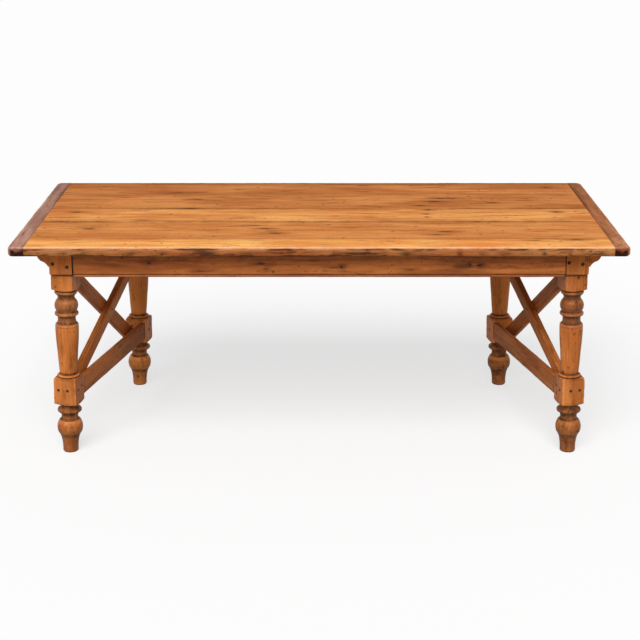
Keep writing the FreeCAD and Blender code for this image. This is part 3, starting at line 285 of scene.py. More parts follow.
def rub(grid, section, weight, seed, depth, step=0.05):
    """Pushes the rounded corners of a carried section inwards by depth times two wandering values."""
    normals = polygon_normals(section)
    along = grid[:, 0, 2] - grid[:, 0, 2].min()
    corner = np.cumsum(np.diff(weight, prepend=weight[-1]) > 0.3)
    push = np.zeros(grid.shape[:2])
    for index in np.unique(corner):
        long_wave = 0.5 + 0.5 * wander(along, step, seed + 11 * int(index))
        short_wave = 0.5 + 0.5 * wander(along, step / 6, seed + 5 + 11 * int(index))
        chosen = corner == index
        push[:, chosen] = (0.65 * long_wave + 0.35 * short_wave ** 2)[:, None]
    push *= weight[None, :] * depth
    grid[:, :, 0] -= push * normals[None, :, 0]
    grid[:, :, 1] -= push * normals[None, :, 1]
    return push / max(depth, 1e-9)


def close_grid(grid):
    """Faces of a tube of rings with both ends capped; rings run anticlockwise seen from their far end."""
    rows, count = grid.shape[0], grid.shape[1]
    index = np.arange(rows * count).reshape(rows, count)
    after = np.roll(index, -1, 1)
    quads = np.stack([index[:-1], after[:-1], after[1:], index[1:]], -1).reshape(-1, 4)
    return quads.tolist() + [index[0, ::-1].tolist(), index[-1].tolist()]


def place(points, axes, origin=(0, 0, 0)):
    """Puts points of a piece's own three directions into the table's frame: each point's three numbers
    times the three directions, added to the origin. The directions are right-handed."""
    return np.asarray(points).reshape(-1, 3) @ np.array(axes, dtype=float) + np.array(origin, dtype=float)


def make_piece(name, points, faces, body, replaces, material, wear=None, sharp=32):
    """One closed mesh with its wear, which holds painted light and shade too, stored on its points, riding on
    a body in place of its nodes.
    """
    mesh = bpy.data.meshes.new(name)
    mesh.from_pydata(np.asarray(points).reshape(-1, 3).tolist(), [], faces)
    values = np.zeros(len(mesh.vertices)) if wear is None else np.asarray(wear, dtype=float).ravel()
    layer = mesh.attributes.new("wear", "FLOAT", "POINT")
    layer.data.foreach_set("value", values)
    mesh.shade_smooth()
    mesh.set_sharp_from_angle(angle=math.radians(sharp))
    mesh.validate()
    mesh.update()
    piece = bpy.data.objects.new(name, mesh)
    bpy.context.collection.objects.link(piece)
    mesh.materials.append(material)
    if replaces:
        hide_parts(*replaces)
    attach(piece, body)
    return piece


# Directions of the pieces: their own width, thickness and length in the table's frame
ALONG_X = ((0, 1, 0), (0, 0, 1), (1, 0, 0))
ALONG_Y = ((0, 0, 1), (1, 0, 0), (0, 1, 0))
ALONG_Z = ((1, 0, 0), (0, 1, 0), (0, 0, 1))


def inwards(side):
    """Direction from a leg frame towards the middle of the table, square to the frame."""
    s = 1 if side == "left" else -1
    return np.array([s * math.cos(TOE), -math.sin(TOE), 0])


def backwards(side):
    """Direction along a leg frame towards the back of the table."""
    s = 1 if side == "left" else -1
    return np.array([s * math.sin(TOE), math.cos(TOE), 0])


def frame_origin(side):
    """Middle of a leg frame on the floor, before it is leant."""
    return np.array([-FRAME_CENTRE if side == "left" else FRAME_CENTRE, 0, 0])


def leaning(side):
    """Origin, inward and upward directions of a leg frame, leant outwards at its feet about the inner
    edge of the legs' tops."""
    inner, up = inwards(side), np.array([0.0, 0.0, 1.0])
    lean_in = math.cos(LEAN) * inner - math.sin(LEAN) * up
    lean_up = math.sin(LEAN) * inner + math.cos(LEAN) * up
    half = UPPER_SIDE / 2
    pivot = frame_origin(side) + half * inner + LEG_TOP * up
    return pivot - half * lean_in - LEG_TOP * lean_up, lean_in, lean_up


# Materials

def feed(tree, socket, value):
    """Links a node's output to a socket, or gives the socket a value of its own."""
    if isinstance(value, bpy.types.NodeSocket):
        tree.links.new(value, socket)
    else:
        socket.default_value = value


def add_node(tree, kind, inputs=None, **settings):
    """A node with its settings and its inputs, each a value or another node's output."""
    made = tree.nodes.new(kind)
    for name, value in settings.items():
        setattr(made, name, value)
    for name, value in (inputs or {}).items():
        feed(tree, made.inputs[name], value)
    return made


def math_node(tree, operation, first, second=0.0, clamp=False):
    """One arithmetic step on two values; returns its result."""
    made = add_node(tree, "ShaderNodeMath", {0: first, 1: second}, operation=operation, use_clamp=clamp)
    return made.outputs[0]


def product(tree, first, second, clamp=False):
    """The first value times the second."""
    return math_node(tree, "MULTIPLY", first, second, clamp)


def total(tree, *values, clamp=False):
    """The sum of any number of values, clamped to 0 and 1 at the end if asked."""
    whole = values[0]
    for value in values[1:-1]:
        whole = math_node(tree, "ADD", whole, value)
    return math_node(tree, "ADD", whole, values[-1], clamp)


def greater(tree, first, second):
    """The larger of two values."""
    return math_node(tree, "MAXIMUM", first, second)


def distance_from(tree, value, middle):
    """How far a value is from a middle, without its sign."""
    return math_node(tree, "ABSOLUTE", math_node(tree, "SUBTRACT", value, middle))


def part_of(tree, vector, axis):
    """One of a vector's three numbers: 0 for X, 1 for Y, 2 for Z."""
    return add_node(tree, "ShaderNodeSeparateXYZ", {0: vector}).outputs[axis]


def vector_node(tree, operation, first, second=(0, 0, 0)):
    """One arithmetic step on two vectors; returns a vector, or for LENGTH a number."""
    made = add_node(tree, "ShaderNodeVectorMath", {0: first, 1: second}, operation=operation)
    return made.outputs["Value"] if operation == "LENGTH" else made.outputs["Vector"]


def span_node(tree, value, low, high, to_low=0.0, to_high=1.0, smooth=False):
    """Maps low to high onto to_low to to_high, held at the two ends."""
    return add_node(tree, "ShaderNodeMapRange",
                    {"Value": value, "From Min": low, "From Max": high, "To Min": to_low, "To Max": to_high},
                    interpolation_type="SMOOTHSTEP" if smooth else "LINEAR").outputs[0]


def mix_colour(tree, share, first, second, blend="MIX"):
    """The first colour blended towards the second by a share."""
    made = add_node(tree, "ShaderNodeMix", data_type="RGBA", blend_type=blend)
    sockets = {socket.identifier: socket for socket in made.inputs}
    for name, value in (("Factor_Float", share), ("A_Color", first), ("B_Color", second)):
        feed(tree, sockets[name], value)
    return next(socket for socket in made.outputs if socket.identifier == "Result_Color")


def noise_node(tree, vector, scale, detail=3.0, roughness=0.6):
    """Noise on a stretched vector; scale is three numbers, waves to a metre on each axis."""
    stretched = vector_node(tree, "MULTIPLY", vector, scale)
    return add_node(tree, "ShaderNodeTexNoise",
                    {"Vector": stretched, "Scale": 1.0, "Detail": detail, "Roughness": roughness}).outputs[0]


def new_group(name, inputs, outputs):
    """A shader node group with named sockets; returns the tree, its inputs' values and its outputs."""
    tree = bpy.data.node_groups.new(name, "ShaderNodeTree")
    kinds = {"vector": "NodeSocketVector", "colour": "NodeSocketColor", "number": "NodeSocketFloat"}
    for label, kind, value in inputs:
        socket = tree.interface.new_socket(label, in_out="INPUT", socket_type=kinds[kind])
        if value is not None:
            socket.default_value = value
    for label, kind in outputs:
        tree.interface.new_socket(label, in_out="OUTPUT", socket_type=kinds[kind])
    return tree, tree.nodes.new("NodeGroupInput").outputs, tree.nodes.new("NodeGroupOutput").inputs


def place_group(tree, name, inputs):
    """A node group placed in a tree, with its inputs by label; returns its outputs."""
    return add_node(tree, "ShaderNodeGroup", inputs, node_tree=bpy.data.node_groups[name]).outputs


def opaque(colour):
    """A colour with full alpha, as a shader's colour socket takes it."""
    return (*colour[:3], 1.0)


def build_pine_group():
    """Old pine whose grain runs along the vector's X: growth rings about the X axis, bent by slow noise,
    with fibres, narrow streaks, dark figure, cloudy patches drawn out along the grain and scattered dark
    specks. The darkness is the weighted sum of the rings, streaks, clouds and fibres."""
    tree, given, out = new_group("old_pine", [
        ("Vector", "vector", None), ("Light", "colour", None), ("Dark", "colour", None),
        ("Ring width", "number", 0.006), ("Rings", "number", 0.35), ("Streaks", "number", 0.5),
        ("Clouds", "number", 0.25), ("Figure", "number", 0.4)],
        [("Colour", "colour"), ("Height", "number"), ("Roughness", "number")])
    vector = given["Vector"]
    bend = noise_node(tree, vector, (1.6, 9.0, 9.0), 2.0)
    bent = vector_node(tree, "ADD", vector, add_node(tree, "ShaderNodeCombineXYZ", {
        "Y": span_node(tree, bend, 0.0, 1.0, -0.014, 0.014),
        "Z": span_node(tree, bend, 0.0, 1.0, 0.012, -0.012)}).outputs[0])
    rings = add_node(tree, "ShaderNodeTexWave", {
        "Vector": vector_node(tree, "MULTIPLY", bent, (0.06, 1.0, 1.0)),
        "Scale": math_node(tree, "DIVIDE", 0.314, given["Ring width"]), "Distortion": 7.0, "Detail": 2.0,
        "Detail Scale": 0.3, "Detail Roughness": 0.6},
        wave_type="RINGS", rings_direction="X", wave_profile="SIN").outputs[1]
    late = math_node(tree, "POWER", rings, 1.8)
    fibre = span_node(tree, noise_node(tree, bent, (7.0, 330.0, 330.0), 3.0, 0.65), 0.30, 0.70)
    streak = span_node(tree, noise_node(tree, bent, (2.6, 26.0, 26.0), 6.0, 0.74), 0.40, 0.60)
    cloud = span_node(tree, noise_node(tree, vector, (2.6, 9.0, 9.0), 5.0, 0.62), 0.40, 0.60)
    darkness = total(tree, product(tree, late, given["Rings"]), product(tree, streak, given["Streaks"]),
                     product(tree, cloud, given["Clouds"]), product(tree, fibre, 0.16), clamp=True)
    colour = mix_colour(tree, darkness, given["Light"], given["Dark"])

    deep = mix_colour(tree, 0.62, given["Dark"], (0.02, 0.006, 0.002, 1.0))
    figure = noise_node(tree, bent, (6.0, 44.0, 44.0), 5.0, 0.70)
    figure = product(tree, span_node(tree, figure, 0.55, 0.68, 0.0, 1.0, True), given["Figure"])
    colour = mix_colour(tree, figure, colour, deep)

    fleck = noise_node(tree, bent, (26.0, 520.0, 520.0), 2.0, 0.5)
    pit = noise_node(tree, vector, (55.0, 95.0, 95.0), 2.0, 0.6)
    cells = add_node(tree, "ShaderNodeTexVoronoi", {
        "Vector": vector_node(tree, "MULTIPLY", bent, (24.0, 32.0, 32.0)), "Scale": 1.0}).outputs
    chosen = math_node(tree, "GREATER_THAN", part_of(tree, cells["Color"], 0), 0.74)
    speck = product(tree, span_node(tree, cells["Distance"], 0.20, 0.09, 0.0, 0.9, True), chosen)
    flecks = greater(tree, greater(tree, span_node(tree, fleck, 0.66, 0.80, 0.0, 0.55, True),
                                   span_node(tree, pit, 0.655, 0.73, 0.0, 0.80, True)), speck)
    tree.links.new(mix_colour(tree, flecks, colour, deep), out["Colour"])

    relief = total(tree, product(tree, fibre, 0.5), product(tree, late, 0.35))
    tree.links.new(math_node(tree, "SUBTRACT", relief, product(tree, flecks, 0.8)), out["Height"])
    tree.links.new(span_node(tree, total(tree, fibre, cloud), 0.0, 2.0, -0.06, 0.08), out["Roughness"])


def build_mark_group():
    """How far a point lies inside a long round mark: 1 at its centre and 0 outside, by its distance in
    shares of the mark's reach; and a wider halo round it."""
    tree, given, out = new_group("knot_mark", [
        ("Vector", "vector", None), ("Centre", "vector", None), ("Reach", "vector", (1, 1, 1)),
        ("Depth", "number", 1.0)], [("Mask", "number"), ("Halo", "number")])
    offset = vector_node(tree, "SUBTRACT", given["Vector"], given["Centre"])
    distance = vector_node(tree, "LENGTH", vector_node(tree, "DIVIDE", offset, given["Reach"]))
    for label, inside, outside in (("Mask", 0.45, 1.0), ("Halo", 0.9, 3.4)):
        share = span_node(tree, distance, inside, outside, 1.0, 0.0, True)
        tree.links.new(product(tree, share, given["Depth"]), out[label])


def build_wear_group():
    """Rubs the ridges lighter and fills the hollows with old wax and dirt, by the wear stored on the points
    (above 0 is a ridge, below 0 a hollow), broken up by noise, with scattered dents and stains. The lighter
    ridges are partly painted highlights and the darker hollows partly painted shade."""
    tree, given, out = new_group("worn_grimy_and_painted_light", [
        ("Vector", "vector", None), ("Colour", "colour", None), ("Rubbed", "colour", None),
        ("Grime", "colour", None), ("Rub", "number", 0.6), ("Stains", "number", 0.5)],
        [("Colour", "colour"), ("Dirt", "number"), ("Dents", "number")])
    wear = add_node(tree, "ShaderNodeAttribute", attribute_name="wear").outputs["Fac"]
    patchy = noise_node(tree, given["Vector"], (38.0, 60.0, 60.0), 4.0, 0.65)
    ridge = product(tree, span_node(tree, wear, 0.25, 1.0), span_node(tree, patchy, 0.36, 0.60, 0.15, 1.0))
    hollow = product(tree, span_node(tree, wear, 0.0, -1.6, 0.0, 1.6),
                     span_node(tree, patchy, 0.30, 0.60, 1.0, 0.60), True)
    stain_noise = noise_node(tree, given["Vector"], (11.0, 26.0, 26.0), 5.0, 0.7)
    stain = product(tree, span_node(tree, stain_noise, 0.60, 0.76, 0.0, 0.8, True), given["Stains"])
    speck_noise = noise_node(tree, given["Vector"], (90.0, 240.0, 240.0), 1.0, 0.5)
    speck = product(tree, span_node(tree, speck_noise, 0.72, 0.80, 0.0, 1.0, True), given["Stains"], True)
    colour = mix_colour(tree, product(tree, ridge, given["Rub"], True), given["Colour"], given["Rubbed"])
    for dirt in (stain, speck, hollow):
        colour = mix_colour(tree, dirt, colour, given["Grime"])
    tree.links.new(colour, out["Colour"])
    tree.links.new(greater(tree, hollow, stain), out["Dirt"])
    tree.links.new(total(tree, speck, product(tree, stain, 0.4)), out["Dents"])


def grain_mapping(tree, direction, centre, offset):
    """Object coordinates turned so that the grain's direction lies along X and its heart on the X axis."""
    turn = Vector(direction).normalized().rotation_difference(Vector((1, 0, 0)))
    moved = turn @ Vector(centre)
    location = Vector(offset) - moved
    coordinates = add_node(tree, "ShaderNodeTexCoord").outputs["Object"]
    return add_node(tree, "ShaderNodeMapping", {"Vector": coordinates, "Location": location,
                                                "Rotation": turn.to_euler()}).outputs[0], coordinates


def edge_of_top(tree, coordinates, colour, grime_and_shade):
    """The outer edges of the top: redder and darker below the rubbed arris, partly redder wood and partly
    painted shade, with old dirt gathered in uneven patches, most of them near the lower edge, and in a line
    below the arris."""
    level = part_of(tree, coordinates, 2)
    outwards = span_node(tree, math_node(tree, "ABSOLUTE", part_of(tree, coordinates, 1)),
                         TOP_DEPTH / 2 - 0.0075, TOP_DEPTH / 2 - 0.005)
    below = span_node(tree, level, TABLE_HEIGHT - 0.0008, TABLE_HEIGHT - 0.0034, 0.0, 1.0, True)
    patches = noise_node(tree, coordinates, (7.5, 1.0, 55.0), 5.0, 0.72)
    lower = span_node(tree, level, TOP_UNDER + 0.022, TOP_UNDER + 0.002, -0.05, 0.08)
    line = span_node(tree, distance_from(tree, level, TABLE_HEIGHT - 0.0062), 0.0, 0.0040, 0.14, 0.0)
    dirt = span_node(tree, total(tree, patches, lower, line), 0.49, 0.64, 0.0, 0.90, True)
    # redder wood and painted shade on the edge's face below the arris
    red = mix_colour(tree, 1.0, colour, (0.53, 0.44, 0.50, 1.0), "MULTIPLY")
    return mix_colour(tree, product(tree, outwards, below), colour, mix_colour(tree, dirt, red, grime_and_shade))


def knots_and_marks(tree, coordinates, colour, marks, plane, dark, grime_and_shade):
    """A board's or apron's own marks, each with a soft darker halo, their outlines shaken by noise.
    Returns the colour and how much of a mark lies at each point."""
    shake = noise_node(tree, coordinates, (30.0, 120.0, 120.0), 3.0, 0.6)
    wobble = vector_node(tree, "ADD", coordinates, add_node(tree, "ShaderNodeCombineXYZ", {
        "X": span_node(tree, shake, 0.0, 1.0, -0.014, 0.014),
        "Y": span_node(tree, shake, 0.0, 1.0, 0.008, -0.008),
        "Z": span_node(tree, shake, 0.0, 1.0, -0.005, 0.005)}).outputs[0])
    mask = halo = None
    for x, other, long, wide, depth in marks:
        if plane == "top":
            centre, reach = (x, other, TABLE_HEIGHT), (long * 0.6, wide * 0.8, 0.02)
        else:
            centre, reach = (x, -APRON_FACE, other), (long * 0.6, 0.02, wide * 0.7)
        spot = place_group(tree, "knot_mark", {
            "Vector": wobble, "Centre": centre, "Reach": reach, "Depth": depth})
        mask = spot["Mask"] if mask is None else greater(tree, mask, spot["Mask"])
        halo = spot["Halo"] if halo is None else greater(tree, halo, spot["Halo"])
    broken = span_node(tree, noise_node(tree, coordinates, (14.0, 60.0, 60.0), 4.0, 0.65),
                       0.38, 0.60, 0.25, 1.0)
    colour = mix_colour(tree, product(tree, halo, broken, True), colour, opaque(tint(dark, 0.52)))
    return mix_colour(tree, mask, colour, grime_and_shade), mask


def polished_turning(tree, coordinates, matt, polish):
    """Gloss of a leg: polish more than matt on the beads about the ball, and a part of it on the foot."""
    level = part_of(tree, coordinates, 2)
    beads = span_node(tree, distance_from(tree, level, BALL_AT), 0.060, 0.072, 1.0, 0.0)
    foot = span_node(tree, level, LOWER_BLOCK[0] - 0.006, LOWER_BLOCK[0], 0.4, 0.0)
    return total(tree, product(tree, greater(tree, beads, foot), polish), matt)


def new_material(name):
    """A material with its tree and its Principled shader."""
    material = bpy.data.materials.new(name)
    material.use_nodes = True
    return material, material.node_tree, material.node_tree.nodes["Principled BSDF"]


def wood(name, light, dark, direction, centre=(0, 0, 0), seed=0, ring=0.006, rings=0.30, streaks=0.45,
         clouds=0.25, figure=0.40, rub=0.5, stains=0.5, rubbed=None, gloss=0.42, marks=(), mark_plane="top",
         specular=0.06, bump=0.25, pith=(0.0, 0.0), edged=False, polish=0.0):
    """Waxed old pine with its grain along a direction through centre; pith moves the heart of the rings.
    Gloss is the base roughness. Polish adds gloss on a leg's beads and balls, which hands and cloths
    reach."""
    material, tree, shader = new_material(name)
    shift = np.random.default_rng(seed).uniform(-3, 3)
    vector, coordinates = grain_mapping(tree, direction, centre, (shift, *pith))
    pine = place_group(tree, "old_pine", {
        "Vector": vector, "Light": opaque(light), "Dark": opaque(dark), "Ring width": ring, "Rings": rings,
        "Streaks": streaks, "Clouds": clouds, "Figure": figure})
    colour, mask, grime_and_shade = pine["Colour"], None, opaque(colours().grime_and_shade)
    if marks:
        colour, mask = knots_and_marks(tree, coordinates, colour, marks, mark_plane, dark, grime_and_shade)
    worn = place_group(tree, "worn_grimy_and_painted_light", {
        "Vector": vector, "Colour": colour, "Rubbed": opaque(rubbed or light), "Grime": grime_and_shade, "Rub": rub,
        "Stains": stains})
    colour = edge_of_top(tree, coordinates, worn["Colour"], grime_and_shade) if edged else worn["Colour"]
    roughness = total(tree, pine["Roughness"], gloss, product(tree, worn["Dirt"], 0.22), clamp=True)
    height = math_node(tree, "SUBTRACT", pine["Height"], worn["Dents"])
    if mask is not None:
        height = math_node(tree, "SUBTRACT", height, mask)
    bumped = add_node(tree, "ShaderNodeBump", {"Strength": bump, "Distance": 0.0009, "Height": height})
    tree.links.new(colour, shader.inputs["Base Color"])
    tree.links.new(roughness, shader.inputs["Roughness"])
    tree.links.new(bumped.outputs[0], shader.inputs["Normal"])
    shader.inputs["Specular IOR Level"].default_value = specular
    if polish:
        lustre = polished_turning(tree, coordinates, specular, polish)
        tree.links.new(lustre, shader.inputs["Specular IOR Level"])
    return material


def iron(name, colour, rough=0.5):
    """Blackened wrought iron: hammered unevenness, brown bloom in patches and brighter rubbed spots."""
    material, tree, shader = new_material(name)
    coordinates = add_node(tree, "ShaderNodeTexCoord").outputs["Object"]
    bloom = noise_node(tree, coordinates, (90.0, 90.0, 90.0), 4.0, 0.65)
    hammer = noise_node(tree, coordinates, (160.0, 160.0, 160.0), 2.0, 0.5)
    rust = mix_colour(tree, span_node(tree, bloom, 0.48, 0.70, 0.0, 0.7), opaque(colour),
                      (0.16, 0.065, 0.030, 1.0))
    bumped = add_node(tree, "ShaderNodeBump", {"Strength": 0.4, "Distance": 0.0006, "Height": hammer})
    tree.links.new(rust, shader.inputs["Base Color"])
    tree.links.new(span_node(tree, bloom, 0.3, 0.7, 0.65, 0.25), shader.inputs["Metallic"])
    tree.links.new(span_node(tree, hammer, 0.3, 0.7, rough - 0.1, rough + 0.12), shader.inputs["Roughness"])
    tree.links.new(bumped.outputs[0], shader.inputs["Normal"])
    return material


def dress(nodes, material):
    """Gives CAD nodes a material in every slot."""
    for name in nodes:
        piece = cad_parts[name]
        if not piece.material_slots:
            piece.data.materials.append(material)
        for spot in piece.material_slots:
            spot.link = "OBJECT"
            spot.material = material


def tint(colour, share):
    """A colour made lighter (over 1) or darker (under 1)."""
    return tuple(min(1.0, c * share) for c in colour[:3])


def blended(first, second, share):
    """A colour between two, or beyond the first where the share is negative."""
    return tuple(float(np.clip(a + (b - a) * share, 0, 1)) for a, b in zip(first[:3], second[:3]))


# Pieces

def seam_dirt(section, stations, index):
    """Dirt beside a board's seams: each seam's share, uneven along it, fading over 30 mm from the seam."""
    front, back = BOARD_EDGES[index], BOARD_EDGES[index + 1]
    dirt = np.zeros((len(stations), len(section)))
    for number, gap in ((index - 1, section[:, 0] - front), (index, back - section[:, 0])):
        if 0 <= number < len(SEAM_DIRT):
            near = np.interp(gap, (0.0, 0.004, 0.012, 0.030), (1.0, 0.75, 0.25, 0.0))
            slow, quick = wander(stations, 0.16, 140 + number), wander(stations, 0.03, 150 + number)
            uneven = 0.8 + 0.35 * slow + 0.2 * quick
            dirt += SEAM_DIRT[number] * uneven[:, None] * near[None, :]
    return dirt


def worn_outer_edge(section, stations, index, first, outer):
    """The free edge of the front or back board: how far it is scooped and dented inwards, as two
    wandering values and, in front, a bell curve for each dent; and the dirt in and below the dents."""
    face = np.clip((np.abs(section[:, 0]) - (TOP_DEPTH / 2 - outer)) / outer, 0, 1)
    lower = np.clip((TABLE_HEIGHT - 0.007 - section[:, 1]) / 0.012, 0, 1)
    scoop = 0.0006 * (1 + wander(stations, 0.035, 90 + index))
    scoop += 0.0004 * (1 + wander(stations, 0.011, 95 + index))
    inward = scoop[:, None] * (face * lower)[None, :]
    for where, half, depth in EDGE_DENTS if first else ():
        bell = np.exp(-((stations - where) / half) ** 2)
        inward += depth * sizes().dent_share * bell[:, None] * (face * (0.35 + 0.65 * lower))[None, :]
    dirt = np.clip(inward / 0.0034, 0, 1.0) * (0.3 + 0.7 * lower)[None, :]
    below = np.clip((TOP_UNDER + 0.009 - section[:, 1]) / 0.009, 0, 1) * face
    patches = 0.55 + 0.45 * wander(stations, 0.028, 120 + index)
    return inward, dirt + 1.3 * patches[:, None] * below[None, :]


def make_top_board(index):
    """A long board: a rounded section carried along X, its outer edge dented and rubbed, its seams dark
    with old dirt."""
    front, back = BOARD_EDGES[index], BOARD_EDGES[index + 1]
    first, last = index == 0, index == len(BOARD_EDGES) - 2
    size, seam = sizes(), sizes().seam_arris
    outer, under = size.top_arris, size.top_arris * 0.8
    front_y = front if first else front + BOARD_SEAM / 2
    back_y = back if last else back - BOARD_SEAM / 2
    radii = (under if first else seam, under if last else seam, outer if last else seam,
             outer if first else seam)
    wide = (0.012, 0.035, 0.08, 0.30, 0.50, 0.70, 0.92, 0.965, 0.988)
    section, weight = rounded_section((front_y, TOP_UNDER), (back_y, TABLE_HEIGHT), radii, 6,
                                      (wide, 5, wide, 5))
    weight = weight * np.where(np.abs(section[:, 0]) > TOP_DEPTH / 2 - outer * 1.01, 1.0, 0.25)
    stations = np.linspace(-FIELD_END, FIELD_END, 475)
    grid = carried(section, stations)
    rubbed = rub(grid, section, weight, 31 + index, size.wear * 2.0, 0.09)
    wear = (0.75 + 0.45 * rubbed) * weight[None, :]
    gap = TOP_DEPTH / 2 - np.abs(section[:, 0])
    # rubbed wear and a painted highlight: a lighter band on the top along the front arris
    if first:
        rubbed_and_lit_band = np.interp(gap, (0.0, 0.009, 0.026), (0.75, 0.6, 0.0)) * (section[:, 1] > TABLE_HEIGHT - 0.001)
        wear = np.maximum(wear, rubbed_and_lit_band[None, :])
    wear = wear - seam_dirt(section, stations, index)
    if first or last:
        inward, dirt = worn_outer_edge(section, stations, index, first, outer)
        grid[:, :, 0] += inward * (1 if first else -1)
        wear = wear - dirt
    if last:
        arris = np.clip(1 - np.hypot(gap, section[:, 1] - TABLE_HEIGHT) / 0.030, 0, 1)
        wear = np.maximum(wear - 2.0 * arris[None, :], -1.0)
    colour = colours()
    to_amber, to_chestnut = BOARD_TONES[index]
    # the pale rubbed colour at the outer arrises is rubbed wear and a painted highlight
    material = wood("pine_board_%d" % (index + 1), blended(colour.honey, colour.amber, to_amber),
                    blended(colour.amber, colour.chestnut, to_chestnut), (1, 0, 0),
                    (0, (front + back) / 2, TOP_UNDER), 7 + index, ring=0.0075, rings=0.20, streaks=0.50,
                    clouds=0.46, figure=0.72, rub=0.95, stains=0.40, rubbed=(0.93, 0.60, 0.37), gloss=0.50,
                    marks=[mark for mark in TOP_MARKS if front - 0.02 < mark[1] < back + 0.02],
                    specular=0.004, bump=0.22, pith=(0.02 * (-1) ** index, 0.035 + 0.01 * index),
                    edged=first or last)
    make_piece("worn_top_board_%d" % (index + 1), place(grid, ALONG_X), close_grid(grid), "table_top",
               ["top_board_%d" % (index + 1)], material, wear)


# The breadboards' colours, the left one's mauve from a painted sheen, and where each is darker, front to back
BREADBOARD_LOOKS = {
    "left": dict(light=(0.60, 0.325, 0.240), dark=(0.32, 0.160, 0.116), rubbed=(0.86, 0.52, 0.40),
                 darker_along=((0.0, 0.0), (0.05, 0.15), (0.30, 0.40), (0.50, 0.42))),
    "right": dict(light=(0.52, 0.195, 0.080), dark=(0.26, 0.084, 0.032), rubbed=(0.80, 0.40, 0.22),
                  darker_along=((-0.45, -0.90), (-0.25, -0.45), (0.15, 0.22), (0.50, 0.50))),
}


def outward_from(start, points, wear, side):
    """Points whose second number is a distance outwards from start, put on the table's left or right; on
    the left the section's order is turned, so that it still runs anticlockwise."""
    points = points.copy()
    points[:, :, 1] += start
    if side == "left":
        points, wear = points[:, ::-1].copy(), wear[:, ::-1]
        points[:, :, 1] *= -1
    return points, wear


def rolled(gap, radius):
    """How far a surface has fallen back near an end: the height left out of a quarter circle."""
    inside = np.sqrt(np.maximum(0.0, radius ** 2 - (radius - gap) ** 2))
    return np.where(gap < radius, radius - inside, 0.0)


def make_breadboard(side):
    """A cross board carried along Y; near its ends the outer side follows the corner's arc and the
    edges roll over."""
    s = -1 if side == "left" else 1
    size, look = sizes(), BREADBOARD_LOOKS[side]
    outer, under, seam = size.top_arris, size.top_arris * 0.8, size.seam_arris
    inner = FIELD_END + BOARD_SEAM / 2
    width = TOP_LENGTH / 2 - inner
    # section in height and distance out from the inner edge
    section, weight = rounded_section((TOP_UNDER, 0.0), (TABLE_HEIGHT, width), (seam, seam, outer, under), 6,
                                      (5, 5, 5, 5))
    weight = weight * np.where(section[:, 1] > width - outer * 1.01, 1.0, 0.25)
    near = np.array([0.0, 0.0005, 0.0012, 0.0022, 0.0035, 0.005, 0.007, 0.0095, 0.0125, 0.016, 0.020, 0.024])
    half = TOP_DEPTH / 2
    stations = np.concatenate([-half + near, np.linspace(-half, half, 240)[6:-6], half - near[::-1]])
    stations = np.unique(np.round(stations, 6))
    grid = carried(section, stations)
    rubbed = rub(grid, section, weight, 61 if s < 0 else 67, size.wear * 2.0, 0.07)
    gap = half - np.abs(stations)
    grid[:, :, 1] *= ((width - rolled(gap, TOP_CORNER)) / width)[:, None]
    middle = (TABLE_HEIGHT + TOP_UNDER) / 2
    high = (TABLE_HEIGHT - middle - rolled(gap, outer) * 0.9) / (TABLE_HEIGHT - middle)
    grid[:, :, 0] = middle + (grid[:, :, 0] - middle) * high[:, None]
    # dirt along the inner seam and over the end, which keeps a lighter rim at the top: rubbed wear and a
    # painted highlight
    seam_grime = np.interp(section[:, 1], (0.0, 0.004, 0.014), (1.0, 0.6, 0.0))[None, :]
    at_end = np.clip(1.2 - gap / (outer * 0.6), 0, 1)[:, None]
    rubbed_and_lit_rim = np.clip((section[:, 0] - TABLE_HEIGHT + 0.009) / 0.004, 0, 1)[None, :]
    rubbed_and_lit_rim = rubbed_and_lit_rim * np.clip(1.6 - gap / outer, 0, 1)[:, None]
    darker_along = np.interp(stations, *zip(*look["darker_along"]))[:, None]
    wear = rubbed * weight[None, :] - 0.7 * seam_grime
    wear = wear - 1.9 * at_end * (1 - rubbed_and_lit_rim) + 0.8 * rubbed_and_lit_rim - darker_along * (1 - at_end)
    points, wear = outward_from(inner, grid, wear, side)
    material = wood("breadboard_%s_wood" % side, look["light"], look["dark"], (0, 1, 0),
                    (s * 0.97, 0, TOP_UNDER), 41 + s, ring=0.006, rings=0.30, streaks=0.5, clouds=0.3,
                    figure=0.70, rub=0.6, stains=0.65, rubbed=look["rubbed"], gloss=0.50, specular=0.004,
                    bump=0.35, pith=(0.0, 0.03), edged=True)
    make_piece("worn_breadboard_%s" % side, place(points, ALONG_Y), close_grid(points), "table_top",
               ["breadboard_%s" % side], material, wear)


def bead_section(out):
    """Section of an apron in Y and height: a round bead and a quirk at its lower outer edge. Returns its
    points, how much of the bead and how much of the quirk lies at each."""
    face, inside = APRON_FACE, APRON_INSIDE
    low, bead, quirk, deep = APRON_UNDER, 0.008, 0.002, 0.0035
    quarter = 0.2071
    middle, top = (face, low + bead / 2), (face - bead / 2, low + bead)
    run = [(inside, TOP_UNDER), (inside, low), (face - bead / 2, low)]
    run += arc_points((face - bead / 2, low), middle, quarter, 6).tolist()
    run += arc_points(middle, top, quarter, 6).tolist()
    run += [(face - deep, low + bead), (face - deep, low + bead + quirk), (face - 0.0008, low + bead + quirk),
            (face, low + bead + quirk + 0.0010)]
    run += [(face, z) for z in np.linspace(0.650, 0.724, 8)] + [(face, TOP_UNDER)]
    points = np.array(run)
    weight = np.where((points[:, 1] < low + bead) & (points[:, 0] > face - bead * 0.6), 0.7, 0.0)
    in_quirk = np.abs(points[:, 1] - low - bead - quirk / 2) < 0.0015
    hollow = np.where((points[:, 0] < face - bead * 0.3) & in_quirk, 1.0, 0.0)
    if out < 0:
        points = points[::-1] * np.array([-1, 1])
        weight, hollow = weight[::-1], hollow[::-1]
    return points, weight, hollow


